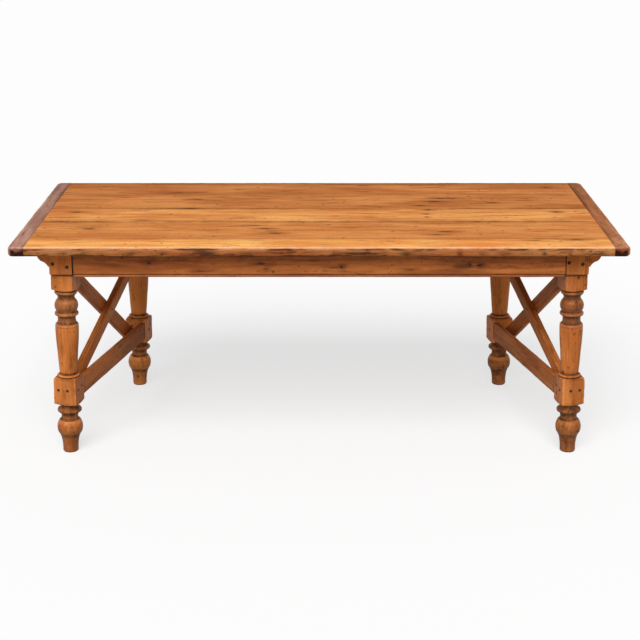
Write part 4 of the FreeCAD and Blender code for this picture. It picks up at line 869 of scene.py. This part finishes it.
def make_apron(end):
    """A beaded rail carried along X, with its bead rubbed, its quirk full of old wax, and painted shade high
    up under the top, under its bead and at its ends beside the corner blocks."""
    out = -1 if end == "front" else 1
    section, weight, hollow = bead_section(out)
    level = section[:, 1]
    stations = np.linspace(-(BLOCK_INSIDE - 0.004), BLOCK_INSIDE - 0.001, 341)
    grid = carried(section, stations)
    rubbed = rub(grid, section, weight, 71 + out, sizes().wear * 0.9, 0.06)
    # painted shade of the top's overhang, darkest high up under the top
    above = np.clip((level - 0.672) / 0.048, 0, 1) ** 1.2
    beside = np.clip(1 - np.abs(level - APRON_UNDER - 0.0115) / 0.004, 0, 1)
    beside = beside + 0.35 * (level < APRON_UNDER + 0.009)
    # painted shade under the bead
    under = np.clip((APRON_UNDER + 0.0050 - level) / 0.003, 0, 1)
    # painted shade at the ends, in the gaps beside the corner blocks
    at_ends = np.clip(1 - (BLOCK_INSIDE - np.abs(stations)) / 0.006, 0, 1)
    wear = rubbed * 0.7 - (hollow + 0.45 * beside + 1.10 * above + 0.7 * under)[None, :]
    wear = wear - 1.5 * at_ends[:, None]
    colour = colours()
    material = wood("apron_%s_wood" % end, tint(colour.russet, 1.06), tint(colour.umber, 1.00), (1, 0, 0),
                    (0, out * 0.39, 0.66), 51 + out, ring=0.008, rings=0.30, streaks=0.5, clouds=0.35,
                    figure=0.55, rub=0.55, stains=0.45, rubbed=tint(colour.russet, 1.05), gloss=0.40,
                    marks=APRON_MARKS if end == "front" else (), mark_plane="front", specular=0.14,
                    pith=(0.045 * out, 0.01))
    make_piece("beaded_apron_%s" % end, place(grid, ALONG_X), close_grid(grid), "table_top",
               ["apron_%s" % end], material, wear)


def make_corner_block(side, end):
    """A square post with eased edges, carried along Z, drawn in a little at its lower end."""
    s, out = (-1 if side == "left" else 1), (-1 if end == "front" else 1)
    xs = sorted((s * BLOCK_OUTSIDE, s * BLOCK_INSIDE))
    ys = sorted((out * APRON_FACE, out * (APRON_FACE - BLOCK_SIDE)))
    section, weight = rounded_section((xs[0], ys[0]), (xs[1], ys[1]), (sizes().arris,) * 4, 4, (3, 3, 3, 3))
    stations = np.concatenate([BLOCK_UNDER + np.array([0.0, 0.0003, 0.0010]),
                               np.linspace(BLOCK_UNDER + 0.002, TOP_UNDER, 30)])
    grid = carried(section, stations)
    centre = np.array([sum(xs) / 2, sum(ys) / 2])
    shrink = np.ones(len(stations))
    shrink[:3] = (0.968, 0.985, 0.996)
    grid[:, :, 0:2] = centre + (grid[:, :, 0:2] - centre) * shrink[:, None, None]
    rubbed = rub(grid, section, weight, 200 + 3 * s + out, sizes().wear, 0.03)
    # painted shade of the top's overhang near the block's top
    above = np.clip((stations - 0.700) / 0.030, 0, 1)
    # painted shade on the inner face, so that the gap beside the apron shows dark
    beside = np.clip(1 - np.abs(section[:, 0] - s * BLOCK_INSIDE) / 0.0012, 0, 1) * (weight < 0.9)
    wear = rubbed * weight[None, :] - 0.45 * above[:, None] - 1.2 * beside[None, :]
    colour = colours()
    # the right blocks' darker colours are painted shade
    lighter, darker = (1.00, 0.98) if side == "left" else (0.88, 0.84)
    material = wood("corner_block_%s_%s_wood" % (end, side), tint(colour.russet, lighter),
                    tint(colour.umber, darker), (0, 0, 1), (*centre, 0.7), 211 + 3 * s + out, rings=0.30,
                    figure=0.55, rub=0.5, stains=0.75, rubbed=tint(colour.russet, 1.05), gloss=0.44,
                    pith=(0.03, 0.02))
    make_piece("eased_corner_block_%s_%s" % (end, side), place(grid, ALONG_Z), close_grid(grid), "table_top",
               ["corner_block_%s_%s" % (end, side)], material, wear)


def make_cleat(side):
    """A cleat with a round below and a hollow above, carried along Y, its edges rubbed and its hollow
    dark."""
    s = -1 if side == "left" else 1
    reach, low, high, fillet = 0.042, CLEAT_UNDER, TOP_UNDER, 0.006
    middle = low + (high - low) * 0.33
    # section in height and distance out from the box
    start, turn, stop = (low, reach * 0.07), (middle, reach * 0.64), (high - fillet, reach - 0.0004)
    lower, upper = arc_points(start, turn, 0.12, 12), arc_points(turn, stop, -0.10, 12)
    section = np.array([(high, 0.0), (high, reach), (high - fillet + 0.0006, reach), stop,
                        *upper[:-1][::-1], *lower[::-1], start, (low, 0.0)])
    curl = np.clip((section[:, 1] - reach * 0.62) / (reach * 0.3), 0, 1)
    curl = curl * (section[:, 0] < high - fillet * 0.5)
    grid = carried(section, np.linspace(-APRON_FACE, APRON_FACE, 161))
    weight = np.where(np.abs(section[:, 1] - reach) < 0.002, 0.8, 0.0)
    weight = weight + np.where(np.abs(section[:, 0] - middle) < 0.006, 0.5, 0.0)
    rubbed = rub(grid, section, weight, 301 + s, sizes().wear * 0.8, 0.05)
    points, wear = outward_from(BLOCK_OUTSIDE, grid, rubbed * 0.8 - 0.45 * curl[None, :], side)
    colour = colours()
    material = wood("cleat_%s_wood" % side, tint(colour.russet, 0.90), tint(colour.umber, 0.9), (0, 1, 0),
                    (s * 0.91, 0, 0.70), 311 + s, rings=0.3, rub=0.5, stains=0.45,
                    rubbed=tint(colour.russet, 1.1), pith=(0.02, 0.03))
    make_piece("moulded_cleat_%s" % side, place(points, ALONG_Y), close_grid(points), "table_top",
               ["end_cleat_%s" % side], material, wear)


def turned_stretch(shares, low, high, steps=9):
    """Radius and height of a turned stretch: straight runs and arcs through the shares."""
    spots = [(r * TURNING_RADIUS, low + t * (high - low)) for t, r, bulge in shares]
    run = [np.array([spots[0]])]
    for i in range(len(spots) - 1):
        bulge = shares[i][2]
        gap = math.dist(spots[i], spots[i + 1])
        if abs(bulge) < 1e-9:
            count = max(1, int(gap / 0.006))
            share = np.linspace(0, 1, count + 1)[1:, None]
            run.append(np.array(spots[i]) * (1 - share) + np.array(spots[i + 1]) * share)
        else:
            run.append(arc_points(spots[i], spots[i + 1], bulge, max(steps, int(gap / 0.004))))
    return np.concatenate(run)


def block_rows(low, high, size, shoulder_above):
    """Rows on a square block: their heights, half the block's side, and the radius that its turned
    shoulders hold it to. A shoulder starts at the square's side and widens to beyond its corners over
    the pommel; where none is turned above, the top edge is only eased."""
    easing = np.array([0.0, 0.0002, 0.0008, 0.0018, 0.0032, 0.0050, 0.0072, 0.0090, 0.0100])
    upper = high - (easing[::-1] if shoulder_above else np.array([0.0022, 0.0014, 0.0006, 0.0]))
    z = np.concatenate([low + easing, np.linspace(low + 0.014, high - 0.014, 14), upper])
    half = size / 2
    rise = np.minimum(z - low, high - z if shoulder_above else 1.0)
    share = np.clip(rise / (POMMEL * 1.12), 0, 1.2)
    limit = half * (1.0 + 0.5 * share + 0.22 * np.sin(np.pi * np.clip(share, 0, 1)))
    if not shoulder_above:
        limit = np.where(high - z < 0.0021, half * 1.43 - (0.0021 - (high - z)) * 2.2, limit)
    return z, np.full(len(z), half), limit


def leg_rows():
    """Up a whole leg, row by row: the height, the radius of the turning (0 on a block), half the block's
    side and the limit of its shoulders (0 off a block)."""
    foot = turned_stretch(FOOT_SHARES, 0.0, LOWER_BLOCK[0])
    foot = np.concatenate([[(foot[0, 0], -0.003)], foot])
    shaft = turned_stretch(SHAFT_SHARES, LOWER_BLOCK[1], UPPER_BLOCK)
    lower_z, lower_half, lower_limit = block_rows(*LOWER_BLOCK, LOWER_SIDE, True)
    upper_z, upper_half, upper_limit = block_rows(UPPER_BLOCK, LEG_TOP, UPPER_SIDE, False)
    z = np.concatenate([foot[:, 1], lower_z, shaft[:, 1], upper_z])
    turned = np.concatenate([foot[:, 0], lower_half * 0, shaft[:, 0], upper_half * 0])
    half = np.concatenate([foot[:, 0] * 0, lower_half, shaft[:, 0] * 0, upper_half])
    limit = np.concatenate([foot[:, 0] * 0, lower_limit, shaft[:, 0] * 0, upper_limit])
    return z, turned, half, limit


def mean_near(values, z, reach):
    """For each row, the mean of the values at the rows within reach of its height."""
    near = np.abs(z[:, None] - z[None, :]) < reach
    return (near * values[None, :]).sum(1) / near.sum(1)


def beside_level(z, level, reach):
    """1 at a level, falling evenly to 0 at reach above and below it."""
    return np.clip(1 - np.abs(z - level) / reach, 0, 1)


# Height up a leg, and how much old wax stays there: on the beads and balls, not on the long shaft
WAXED = ((0.138, 0.0), (0.144, 0.50), (0.164, 0.50), (0.172, 0.0), (0.262, 0.0), (0.271, 0.48),
         (0.284, 0.48), (0.296, 0.0), (0.442, 0.0), (0.466, 0.72))


def leg_wear(z, turned, half, side, seed):
    """Wear up a leg, dirt and painted shade below 0: ridges of the turning are rubbed lighter, which is
    partly a painted highlight, and its hollows dark, by the radius against its mean over a stretch and over a
    groove's width; beside the blocks, on the lower block and in old wax it is darker, and under swellings it
    is darker with painted shade."""
    on_turning = turned > 0
    radius = np.where(on_turning, turned, half)
    # ridges lighter, partly rubbed wear and partly a painted highlight
    curve = np.clip((radius - mean_near(radius, z, 0.008)) / 0.0030, -0.8, 0.45) * on_turning
    curve = curve * (0.75 + 0.35 * wander(z, 0.03, seed + 13))
    curve = curve - np.clip((mean_near(radius, z, 0.0026) - radius) / 0.0006, 0, 1) * on_turning
    near_block = np.zeros(len(z))
    for edge in (*LOWER_BLOCK, UPPER_BLOCK):
        near_block = np.maximum(near_block, beside_level(z, edge, 0.006) * on_turning)
    shoulder = beside_level(z, LOWER_BLOCK[0], 0.014) + beside_level(z, LOWER_BLOCK[1], 0.010)
    on_block = (0.32 if side == "left" else 0.20) * ((z > LOWER_BLOCK[0]) & (z < LOWER_BLOCK[1]))
    on_block = on_block + 0.35 * shoulder * (half > 0)
    # painted shade: darker where the turning faces down, under its swellings
    slope = np.gradient(radius, np.maximum.accumulate(z + 1e-7 * np.arange(len(z))))
    below = 0.60 * np.clip(slope, 0, 1) * on_turning
    waxed = np.interp(z, *zip(*WAXED)) * on_turning
    return curve - near_block - on_block - below - waxed


def foot_dirt_and_shade(z, side):
    """Dirt at the floor, and that under the lower block, which on the right is darker still as painted shade.
    """
    at_floor = np.clip(1 - z / 0.004, 0, 1)
    under_block = np.clip((LOWER_BLOCK[0] + 0.002 - z) / 0.004, 0, 1)
    return 0.5 * at_floor, (0.55 if side == "left" else 0.80) * under_block


def make_leg(side, end):
    """A leg whose radius at a height and angle is the turning's, or on a block the square's, held
    back near the block's ends by the turned shoulder, less what is chipped off the corners."""
    out = -1 if end == "front" else 1
    origin, lean_in, lean_up = leaning(side)
    tip = origin + out * LEG_AT * backwards(side)
    z, turned, half, limit = leg_rows()
    count = 144
    angle = np.linspace(0, 2 * math.pi, count, endpoint=False)
    # a square with slightly rounded corners, from a high power of cosine and sine
    power = 44.0
    across = (np.abs(np.cos(angle)) ** power + np.abs(np.sin(angle)) ** power) ** (-1 / power)
    square = half[:, None] * across[None, :]
    radius = np.where(half[:, None] > 0, np.minimum(square, limit[:, None]), turned[:, None])
    seed = 401 + (0 if side == "left" else 20) + out
    on_corner = np.clip((across - 1.28) / 0.10, 0, 1)[None, :] * (half[:, None] > 0)
    chips = np.stack([wander(z, 0.014, seed + k) for k in range(4)], 1)
    nearest = (np.floor((angle + math.pi / 4) / (math.pi / 2) + 0.5).astype(int)) % 4
    chip = (0.5 + 0.5 * chips[:, nearest]) * on_corner
    radius = (radius - 0.0011 * chip) * (1 - 0.0035 * (1 + wander(z, 0.09, seed + 9))[:, None])
    wear = leg_wear(z, turned, half, side, seed)[:, None] + 0.9 * chip + 0.35 * on_corner
    at_floor, under_block = foot_dirt_and_shade(z, side)
    wear = np.maximum(wear - at_floor[:, None] - under_block[:, None], -1.08)
    grid = np.zeros((len(z), count, 3))
    grid[:, :, 0:2] = radius[:, :, None] * np.stack([np.cos(angle), np.sin(angle)], 1)[None, :, :]
    grid[:, :, 2] = z[:, None]
    points = place(grid, (lean_in, backwards(side) * (1 if side == "left" else -1), lean_up), tip)
    points[:, 2] = np.clip(points[:, 2], 0.0, LEG_TOP)
    colour = colours()
    # painted light: the back legs, under the top, get lighter colours and fewer streaks, figure and clouds;
    # the right legs' darker colours are painted shade; the pale rubbed colour is partly a painted highlight
    painted_light_share = (0.95 if end == "front" else 1.18) * (1.0 if side == "left" else 0.95)
    streaks, figure = (0.34, 0.60) if end == "front" else (0.20, 0.40)
    clouds = 0.55 if end == "front" else 0.12 if side == "left" else 0.24
    material = wood("leg_%s_%s_wood" % (end, side), tint(colour.russet, 1.04 * painted_light_share),
                    tint(colour.umber, painted_light_share), lean_up, tip, seed, ring=0.007, rings=0.12, streaks=streaks,
                    clouds=clouds, figure=figure, rub=0.50, stains=0.80, rubbed=(0.92, 0.40, 0.16),
                    gloss=0.25, specular=0.03, polish=0.13, pith=(0.012, -0.02))
    make_piece("turned_leg_%s_%s" % (end, side), points, close_grid(grid), "%s_leg_frame" % side,
               ["leg_%s_%s" % (end, side)], material, wear, 50)


def stick_axes(lean_in, along):
    """Width, inward and length directions of a stick, right-handed on either side."""
    return np.cross(lean_in, along), lean_in, along


def cut_at(section, cuts):
    """How far along a stick each cutting plane meets the fibres of its section, one row a plane: what
    is left of the plane's distance after the step across, over the plane's share along."""
    return np.stack([(distance - section[:, 0] * across) / along for distance, across, along in cuts])


def stick(name, side, node, axes, origin, low, high, starts, stops, light, dark, seed, arris):
    """A rail or brace: a section with eased edges carried from the last plane of starts to the first of
    stops, rubbed along its edges and dark at its ends."""
    section, weight = rounded_section(low, high, (arris,) * 4, 4, (3, 3, 3, 3))
    ends = cut_at(section, starts).max(0), cut_at(section, stops).min(0)
    span = abs(float(np.mean(ends[1] - ends[0])))
    stations = np.linspace(0, 1, max(12, int(span / 0.008)))
    grid = carried(section, stations, ends)
    rubbed = rub(grid, section, weight, seed, sizes().wear * 1.1, 0.045)
    wear = rubbed * weight[None, :] + 0.15 * weight[None, :]
    tips = np.minimum(stations, 1 - stations) * span
    wear = wear - 0.8 * np.clip(1 - tips / 0.018, 0, 1)[:, None]
    middle = place(np.array([[(low[0] + high[0]) / 2, (low[1] + high[1]) / 2, 0.0]]), axes, origin)[0]
    material = wood(name + "_wood", light, dark, axes[2], middle, seed, ring=0.006, rings=0.32, streaks=0.5,
                    clouds=0.4, figure=0.6, rub=0.6, stains=0.8, rubbed=tint(light, 1.35), gloss=0.42,
                    specular=0.03, pith=(0.02, 0.015))
    make_piece(name, place(grid, axes, origin), close_grid(grid), "%s_leg_frame" % side, [node],
               material, wear)


# Each brace's middle line, from the front leg's face to the back one's, as distance back and height;
# its width, the places inwards of its two faces, how far it runs into the back leg, the shares of its
# two colours and its step in the seeds
BRACES = {
    "outer": dict(start=(-UPPER_FACE, LEG_TOP + 0.0025), stop=(LOWER_FACE, STRETCHER_TOP - 0.0641),
                  width=0.054, faces=(-0.020, -0.004), into_leg=0.0, shares=(0.92, 0.87), step=3),
    "inner": dict(start=(-LOWER_FACE, STRETCHER_TOP - 0.0140), stop=(UPPER_FACE, LEG_TOP - 0.1021),
                  width=0.046, faces=(-0.004, 0.018), into_leg=0.022, shares=(0.90, 0.86), step=5),
}


def make_stretcher(side, seed):
    """The low flat rail: its width runs up or down, whichever keeps the directions right-handed."""
    origin, lean_in = leaning(side)[:2]
    axes = stick_axes(lean_in, backwards(side))
    sign = 1 if axes[0][2] > 0 else -1
    heights = sorted((sign * (STRETCHER_TOP - STRETCHER_DEEP), sign * STRETCHER_TOP))
    inside, reach = UPPER_SIDE / 2, LOWER_FACE + 0.003
    colour, left = colours(), side == "left"
    light = np.array(tint(colour.russet, 0.77 if left else 0.82)) * ((1.0, 0.95, 0.78) if left else 1.0)
    dark = np.array(tint(colour.umber, 0.76)) * ((1.0, 0.95, 0.70) if left else 1.0)
    stick("flat_stretcher_%s" % side, side, "stretcher_%s" % side, axes, origin,
          (heights[0], inside - STRETCHER_THICK), (heights[1], inside), [(-reach, 0, 1)], [(reach, 0, 1)],
          light, dark, seed + 1, 0.0018)


def make_braces(side):
    """The two crossed braces of one leg frame. Both are cut off at the legs' faces, the outer one also
    under the top rail and at the stretcher's lower edge."""
    origin, lean_in, up = leaning(side)
    back = backwards(side)
    colour = colours()
    seed, hand = (500, 1) if side == "left" else (540, -1)
    make_stretcher(side, seed)
    for kind, brace in BRACES.items():
        (y0, z0), (y1, z1) = brace["start"], brace["stop"]
        run = (y1 - y0) * back + (z1 - z0) * up
        axes = stick_axes(lean_in, run / np.linalg.norm(run))
        backward = (float(axes[0] @ back), float(axes[2] @ back))
        upward = (float(axes[0] @ up), float(axes[2] @ up))
        starts = [(0, *backward)]
        stops = [(y1 - y0 + brace["into_leg"] * backward[1], *backward)]
        if kind == "outer":
            starts.append((LEG_TOP - TOP_RAIL_HIGH - z0, *upward))
            stops.append((STRETCHER_TOP - STRETCHER_DEEP - z0, *upward))
        half, (near, far), (light, dark) = brace["width"] / 2, brace["faces"], brace["shares"]
        stick("%s_brace_%s" % (kind, side), side, "brace_%s_%s" % (kind, side), axes,
              origin + y0 * back + z0 * up, (-half, near), (half, far), starts, stops,
              tint(colour.russet, light), tint(colour.umber, dark), seed + brace["step"] * hand,
              sizes().arris)


def make_pegs(name, spots, body, replaces, material, radius, seed):
    """Whittled pegs: rings of an uneven round outline that dome over at the face and run into the wood.
    A spot is a centre on the face and the direction out of it."""
    random = np.random.default_rng(seed)
    count, points, faces, wear = 18, [], [], []
    angle = np.linspace(0, 2 * math.pi, count, endpoint=False)
    rings = ((1.0, -0.006), (1.0, PEG_STAND * 0.35), (0.93, PEG_STAND * 0.8), (0.70, PEG_STAND),
             (0.35, PEG_STAND * 0.9))
    for centre, out in spots:
        cuts = 0.07 * random.random(count)
        outline = radius * (1 - cuts - 0.05 * np.abs(np.sin(2 * angle + random.random() * 6)))
        out = Vector(out).normalized()
        first = out.orthogonal().normalized()
        axes = (tuple(first), tuple(out.cross(first)), tuple(out))
        start = sum(len(p) for p in points)
        grid = np.zeros((len(rings), count, 3))
        for row, (share, height) in enumerate(rings):
            grid[row, :, 0] = outline * share * np.cos(angle)
            grid[row, :, 1] = outline * share * np.sin(angle)
            grid[row, :, 2] = height
        points.append(place(grid, axes, centre))
        faces += [[start + i for i in face] for face in close_grid(grid)]
        wear.append(np.repeat([-1.0, -1.0, -0.2, 0.3, 0.2], count))
    make_piece(name, np.concatenate(points), faces, body, replaces, material,
               np.concatenate(wear), 60)


def dark_peg_material():
    """Nearly black old wood of the pegs and dowels."""
    return wood("dark_peg_wood", (0.11, 0.052, 0.030), (0.035, 0.018, 0.012), (0, 1, 0), (0, 0, 0), 611,
                ring=0.003, rings=0.5, rub=0.4, stains=0.5, rubbed=(0.20, 0.10, 0.06), gloss=0.5)


# How far a peg stands out of its face, and the radii of the pegs in the box and in the leg frames
PEG_STAND = 0.0006
APRON_PEG = 0.0065
FRAME_PEG = 0.00525
# Where the pegs sit, in shares of the block's side: across from its middle and up from the row's height
APRON_PEG_SPOTS = {"left": ((0.34, 0.05), (-0.28, -0.10)), "right": ((0.21, 0.03), (-0.39, 0.10))}
FRAME_PEG_SPOTS = {"front": ((-0.175, 0.0), (0.225, 0.10)), "back": ((0.0, -0.07),)}
OUTER_PEG_SHARES = (-0.27, 0.13)
# Heights of the two rows of pegs, the first above the floor, the second up a leg
APRON_PEG_ROW = TOP_UNDER - 0.054
FRAME_PEG_ROW = 0.2275


def apron_peg_spots():
    """Two pegs in the outer face of each corner block."""
    middle, spots = BLOCK_OUTSIDE - BLOCK_SIDE / 2, []
    for s, shares in ((-1, APRON_PEG_SPOTS["left"]), (1, APRON_PEG_SPOTS["right"])):
        for out in (-1, 1):
            for across, rise in shares:
                x, z = s * (middle + across * BLOCK_SIDE), APRON_PEG_ROW + rise * BLOCK_SIDE
                spots.append(((x, out * APRON_FACE, z), (0, out, 0)))
    return spots


def frame_peg_spots(side):
    """The pegs in the inner and the outer faces of the lower blocks of a leg frame."""
    back, (origin, lean_in, up), spots = backwards(side), leaning(side), []
    half = LOWER_SIDE / 2
    for out, end in ((-1, "front"), (1, "back")):
        leg = origin + out * LEG_AT * back
        for share, rise in FRAME_PEG_SPOTS[end]:
            high = FRAME_PEG_ROW + rise * LOWER_SIDE
            spots.append((leg + half * lean_in + share * LOWER_SIDE * back + high * up, lean_in))
        for share in OUTER_PEG_SHARES:
            high = FRAME_PEG_ROW + 0.03 * LOWER_SIDE
            spots.append((leg + out * half * back + share * LOWER_SIDE * lean_in + high * up, out * back))
    return spots


# Operators

class TABLE_OT_top_boards(bpy.types.Operator):
    """Lays the worn long boards of the top."""
    bl_idname = "table.top_boards"
    bl_label = "Top boards"

    def execute(self, context):
        for index in range(len(BOARD_EDGES) - 1):
            make_top_board(index)
        return {"FINISHED"}


class TABLE_OT_breadboards(bpy.types.Operator):
    """Caps the ends of the top with its two cross boards."""
    bl_idname = "table.breadboards"
    bl_label = "Breadboard ends"

    def execute(self, context):
        for side in SIDES:
            make_breadboard(side)
        return {"FINISHED"}


class TABLE_OT_apron_box(bpy.types.Operator):
    """Makes the beaded aprons, the corner blocks and the moulded cleats."""
    bl_idname = "table.apron_box"
    bl_label = "Apron box"

    def execute(self, context):
        for end in ENDS:
            make_apron(end)
            for side in SIDES:
                make_corner_block(side, end)
        for side in SIDES:
            make_cleat(side)
        return {"FINISHED"}


class TABLE_OT_legs(bpy.types.Operator):
    """Turns the four legs."""
    bl_idname = "table.legs"
    bl_label = "Turned legs"

    def execute(self, context):
        for side in SIDES:
            for end in ENDS:
                make_leg(side, end)
        return {"FINISHED"}


class TABLE_OT_braces(bpy.types.Operator):
    """Makes the stretchers and the crossed braces."""
    bl_idname = "table.braces"
    bl_label = "Stretchers and braces"

    def execute(self, context):
        for side in SIDES:
            make_braces(side)
        return {"FINISHED"}


class TABLE_OT_pegs(bpy.types.Operator):
    """Drives the pegs that show in the corner blocks and the lower blocks."""
    bl_idname = "table.pegs"
    bl_label = "Pegs"

    def execute(self, context):
        material = dark_peg_material()
        make_pegs("whittled_apron_pegs", apron_peg_spots(), "table_top", ["apron_pegs"], material,
                  APRON_PEG, 621)
        for side in SIDES:
            make_pegs("whittled_frame_pegs_%s" % side, frame_peg_spots(side), "%s_leg_frame" % side,
                      ["frame_pegs_%s" % side], material, FRAME_PEG, 631)
        return {"FINISHED"}


class TABLE_OT_inner_rails(bpy.types.Operator):
    """Gives the rails, bearers and blocks under the top their old pine, bare or waxed."""
    bl_idname = "table.inner_rails"
    bl_label = "Inner rails"

    def execute(self, context):
        light, dark = (0.46, 0.235, 0.095), (0.20, 0.085, 0.036)
        across = wood("bare_pine_across", light, dark, (0, 1, 0), (0, 0, 0.65), 701, rub=0.3, gloss=0.62,
                      specular=0.2)
        along = wood("bare_pine_along", light, dark, (1, 0, 0), (0, 0, 0.65), 703, rub=0.3, gloss=0.62,
                     specular=0.2)
        dress(["cross_bearer_left", "cross_bearer_right"], across)
        dress(["glue_blocks", "board_splines"], along)
        colour = colours()
        for side in SIDES:
            s = -1 if side == "left" else 1
            back, start = tuple(backwards(side)), tuple(frame_origin(side))
            rail = wood("end_rail_%s_wood" % side, tint(colour.russet, 0.8), tint(colour.umber, 0.9),
                        (0, 1, 0), (s * 0.87, 0, 0.68), 711 + s)
            dress(["end_rail_%s" % side], rail)
            bare = wood("frame_pine_%s" % side, light, dark, back, start, 721 + s, gloss=0.6, specular=0.2)
            dress(["hinge_rail_%s" % side], bare)
            waxed = wood("top_rail_%s_wood" % side, tint(colour.russet, 0.74), tint(colour.umber, 0.72),
                         back, start, 725 + s, stains=0.7)
            dress(["top_rail_%s" % side], waxed)
        dress(["breadboard_pegs", "brace_dowels_left", "brace_dowels_right"], dark_peg_material())
        return {"FINISHED"}


class TABLE_OT_ironwork(bpy.types.Operator):
    """Blackens the hinges, pins, nails and rivets and dulls the screws."""
    bl_idname = "table.ironwork"
    bl_label = "Ironwork"

    def execute(self, context):
        black = iron("browned_iron", colours().iron)
        steel = iron("dull_screw_steel", (0.22, 0.20, 0.19), 0.42)
        parts = ("fixed_leaf", "moving_leaf", "pin")
        for side in SIDES:
            for end in ENDS:
                dress(["hinge_%s_%s_%s" % (part, end, side) for part in parts], black)
            dress(["brace_rivet_%s" % side], black)
            dress(["leg_hinge_screws_%s" % side], steel)
        dress(["cleat_nails"], black)
        dress(["rail_hinge_screws"], steel)
        return {"FINISHED"}


# The camera's place, and its tilt below level in degrees, both fitted to the photo
CAMERA_AT = (0.0029, -5.2080, 1.9747)
CAMERA_TILT = 17.19
# The lamp's width in degrees, and the way that its light travels
LAMP_WIDTH = 46
LIGHT_WAY = Vector((0.16, 1.00, -1.0)).normalized()
# The backdrop's brightness, and how far the floor reaches each way
BACKDROP = 0.985
FLOOR_REACH = 60.0


def seen_mask(tree):
    """1 for rays that show the background: from the camera, off a gloss or through glass."""
    path = add_node(tree, "ShaderNodeLightPath").outputs
    either = greater(tree, path["Is Camera Ray"], path["Is Glossy Ray"])
    return greater(tree, either, path["Is Transmission Ray"])


def lay_floor(context, stage):
    """A pale floor: its own glow makes up what the light on it lacks of the backdrop's brightness, and
    seen from below it is clear."""
    r = FLOOR_REACH
    mesh = bpy.data.meshes.new("floor")
    mesh.from_pydata([(-r, -r, 0), (r, -r, 0), (r, r, 0), (-r, r, 0)], [], [(0, 1, 2, 3)])
    floor = bpy.data.objects.new("floor", mesh)
    context.collection.objects.link(floor)
    material, tree, shader = new_material("pale_floor")
    shader.inputs["Base Color"].default_value = opaque((stage.floor_grey,) * 3)
    shader.inputs["Roughness"].default_value = 1.0
    shader.inputs["Specular IOR Level"].default_value = 0.0
    shader.inputs["Emission Color"].default_value = (1, 1, 1, 1)
    lit = stage.floor_grey * (stage.ambient + stage.key * -LIGHT_WAY.z / math.pi)
    tree.links.new(product(tree, seen_mask(tree), BACKDROP - lit), shader.inputs["Emission Strength"])
    clear = add_node(tree, "ShaderNodeBsdfTransparent")
    behind = add_node(tree, "ShaderNodeNewGeometry").outputs["Backfacing"]
    both = add_node(tree, "ShaderNodeMixShader", {0: behind, 1: shader.outputs[0], 2: clear.outputs[0]})
    tree.links.new(both.outputs[0], tree.nodes["Material Output"].inputs["Surface"])
    mesh.materials.append(material)


def light_room(context, stage):
    """A white world, brighter where it is seen than where it lights, and a wide soft lamp overhead."""
    world = bpy.data.worlds.new("soft_room")
    context.scene.world = world
    world.use_nodes = True
    background = world.node_tree.nodes["Background"]
    background.inputs["Color"].default_value = (1, 1, 1, 1)
    strength = span_node(world.node_tree, seen_mask(world.node_tree), 0.0, 1.0, stage.ambient, BACKDROP)
    world.node_tree.links.new(strength, background.inputs["Strength"])
    lamp = bpy.data.lights.new("overhead", "SUN")
    lamp.energy = stage.key
    lamp.angle = math.radians(LAMP_WIDTH)
    overhead = bpy.data.objects.new("overhead", lamp)
    overhead.rotation_euler = LIGHT_WAY.to_track_quat("-Z", "Y").to_euler()
    context.collection.objects.link(overhead)


def set_camera(context, stage):
    """A camera that looks back along Y, tilted down."""
    data = bpy.data.cameras.new("camera")
    data.lens = stage.lens
    data.sensor_width = 36.0
    camera = bpy.data.objects.new("camera", data)
    camera.location = CAMERA_AT
    camera.rotation_euler = (math.radians(90 - CAMERA_TILT), 0, 0)
    context.collection.objects.link(camera)
    context.scene.camera = camera


class TABLE_OT_stage(bpy.types.Operator):
    """Sets the pale floor, the soft light and the camera."""
    bl_idname = "table.stage"
    bl_label = "Stage"

    def execute(self, context):
        stage = context.scene.table_stage
        context.scene.view_settings.view_transform = "Standard"
        lay_floor(context, stage)
        light_room(context, stage)
        set_camera(context, stage)
        return {"FINISHED"}


STEPS = (TABLE_OT_top_boards, TABLE_OT_breadboards, TABLE_OT_apron_box, TABLE_OT_legs, TABLE_OT_braces,
         TABLE_OT_pegs, TABLE_OT_inner_rails, TABLE_OT_ironwork, TABLE_OT_stage)


class TABLE_PT_panel(bpy.types.Panel):
    """Lists the table's sizes, colours and steps."""
    bl_label = "Folding table"
    bl_idname = "TABLE_PT_panel"
    bl_space_type = "VIEW_3D"
    bl_region_type = "UI"
    bl_category = "Table"

    def draw(self, context):
        scene = context.scene
        for settings in (scene.table_sizes, scene.table_colours, scene.table_stage):
            box = self.layout.box()
            for name in settings.__annotations__:
                box.prop(settings, name)
        for step in STEPS:
            self.layout.operator(step.bl_idname)


CLASSES = (TableSizes, TableColours, StageSettings) + STEPS + (TABLE_PT_panel,)


def register():
    """Adds the classes, and the three groups of settings to every scene."""
    for kind in CLASSES:
        bpy.utils.register_class(kind)
    bpy.types.Scene.table_sizes = bpy.props.PointerProperty(type=TableSizes)
    bpy.types.Scene.table_colours = bpy.props.PointerProperty(type=TableColours)
    bpy.types.Scene.table_stage = bpy.props.PointerProperty(type=StageSettings)


def unregister():
    """Takes the settings and the classes away again."""
    del bpy.types.Scene.table_stage
    del bpy.types.Scene.table_colours
    del bpy.types.Scene.table_sizes
    for kind in reversed(CLASSES):
        bpy.utils.unregister_class(kind)


def main():
    """Runs every step in order."""
    register()
    build_pine_group()
    build_mark_group()
    build_wear_group()
    for step in STEPS:
        category, name = step.bl_idname.split(".")
        getattr(getattr(bpy.ops, category), name)()
    bpy.context.view_layer.update()


if __name__ == "__main__":
    main()
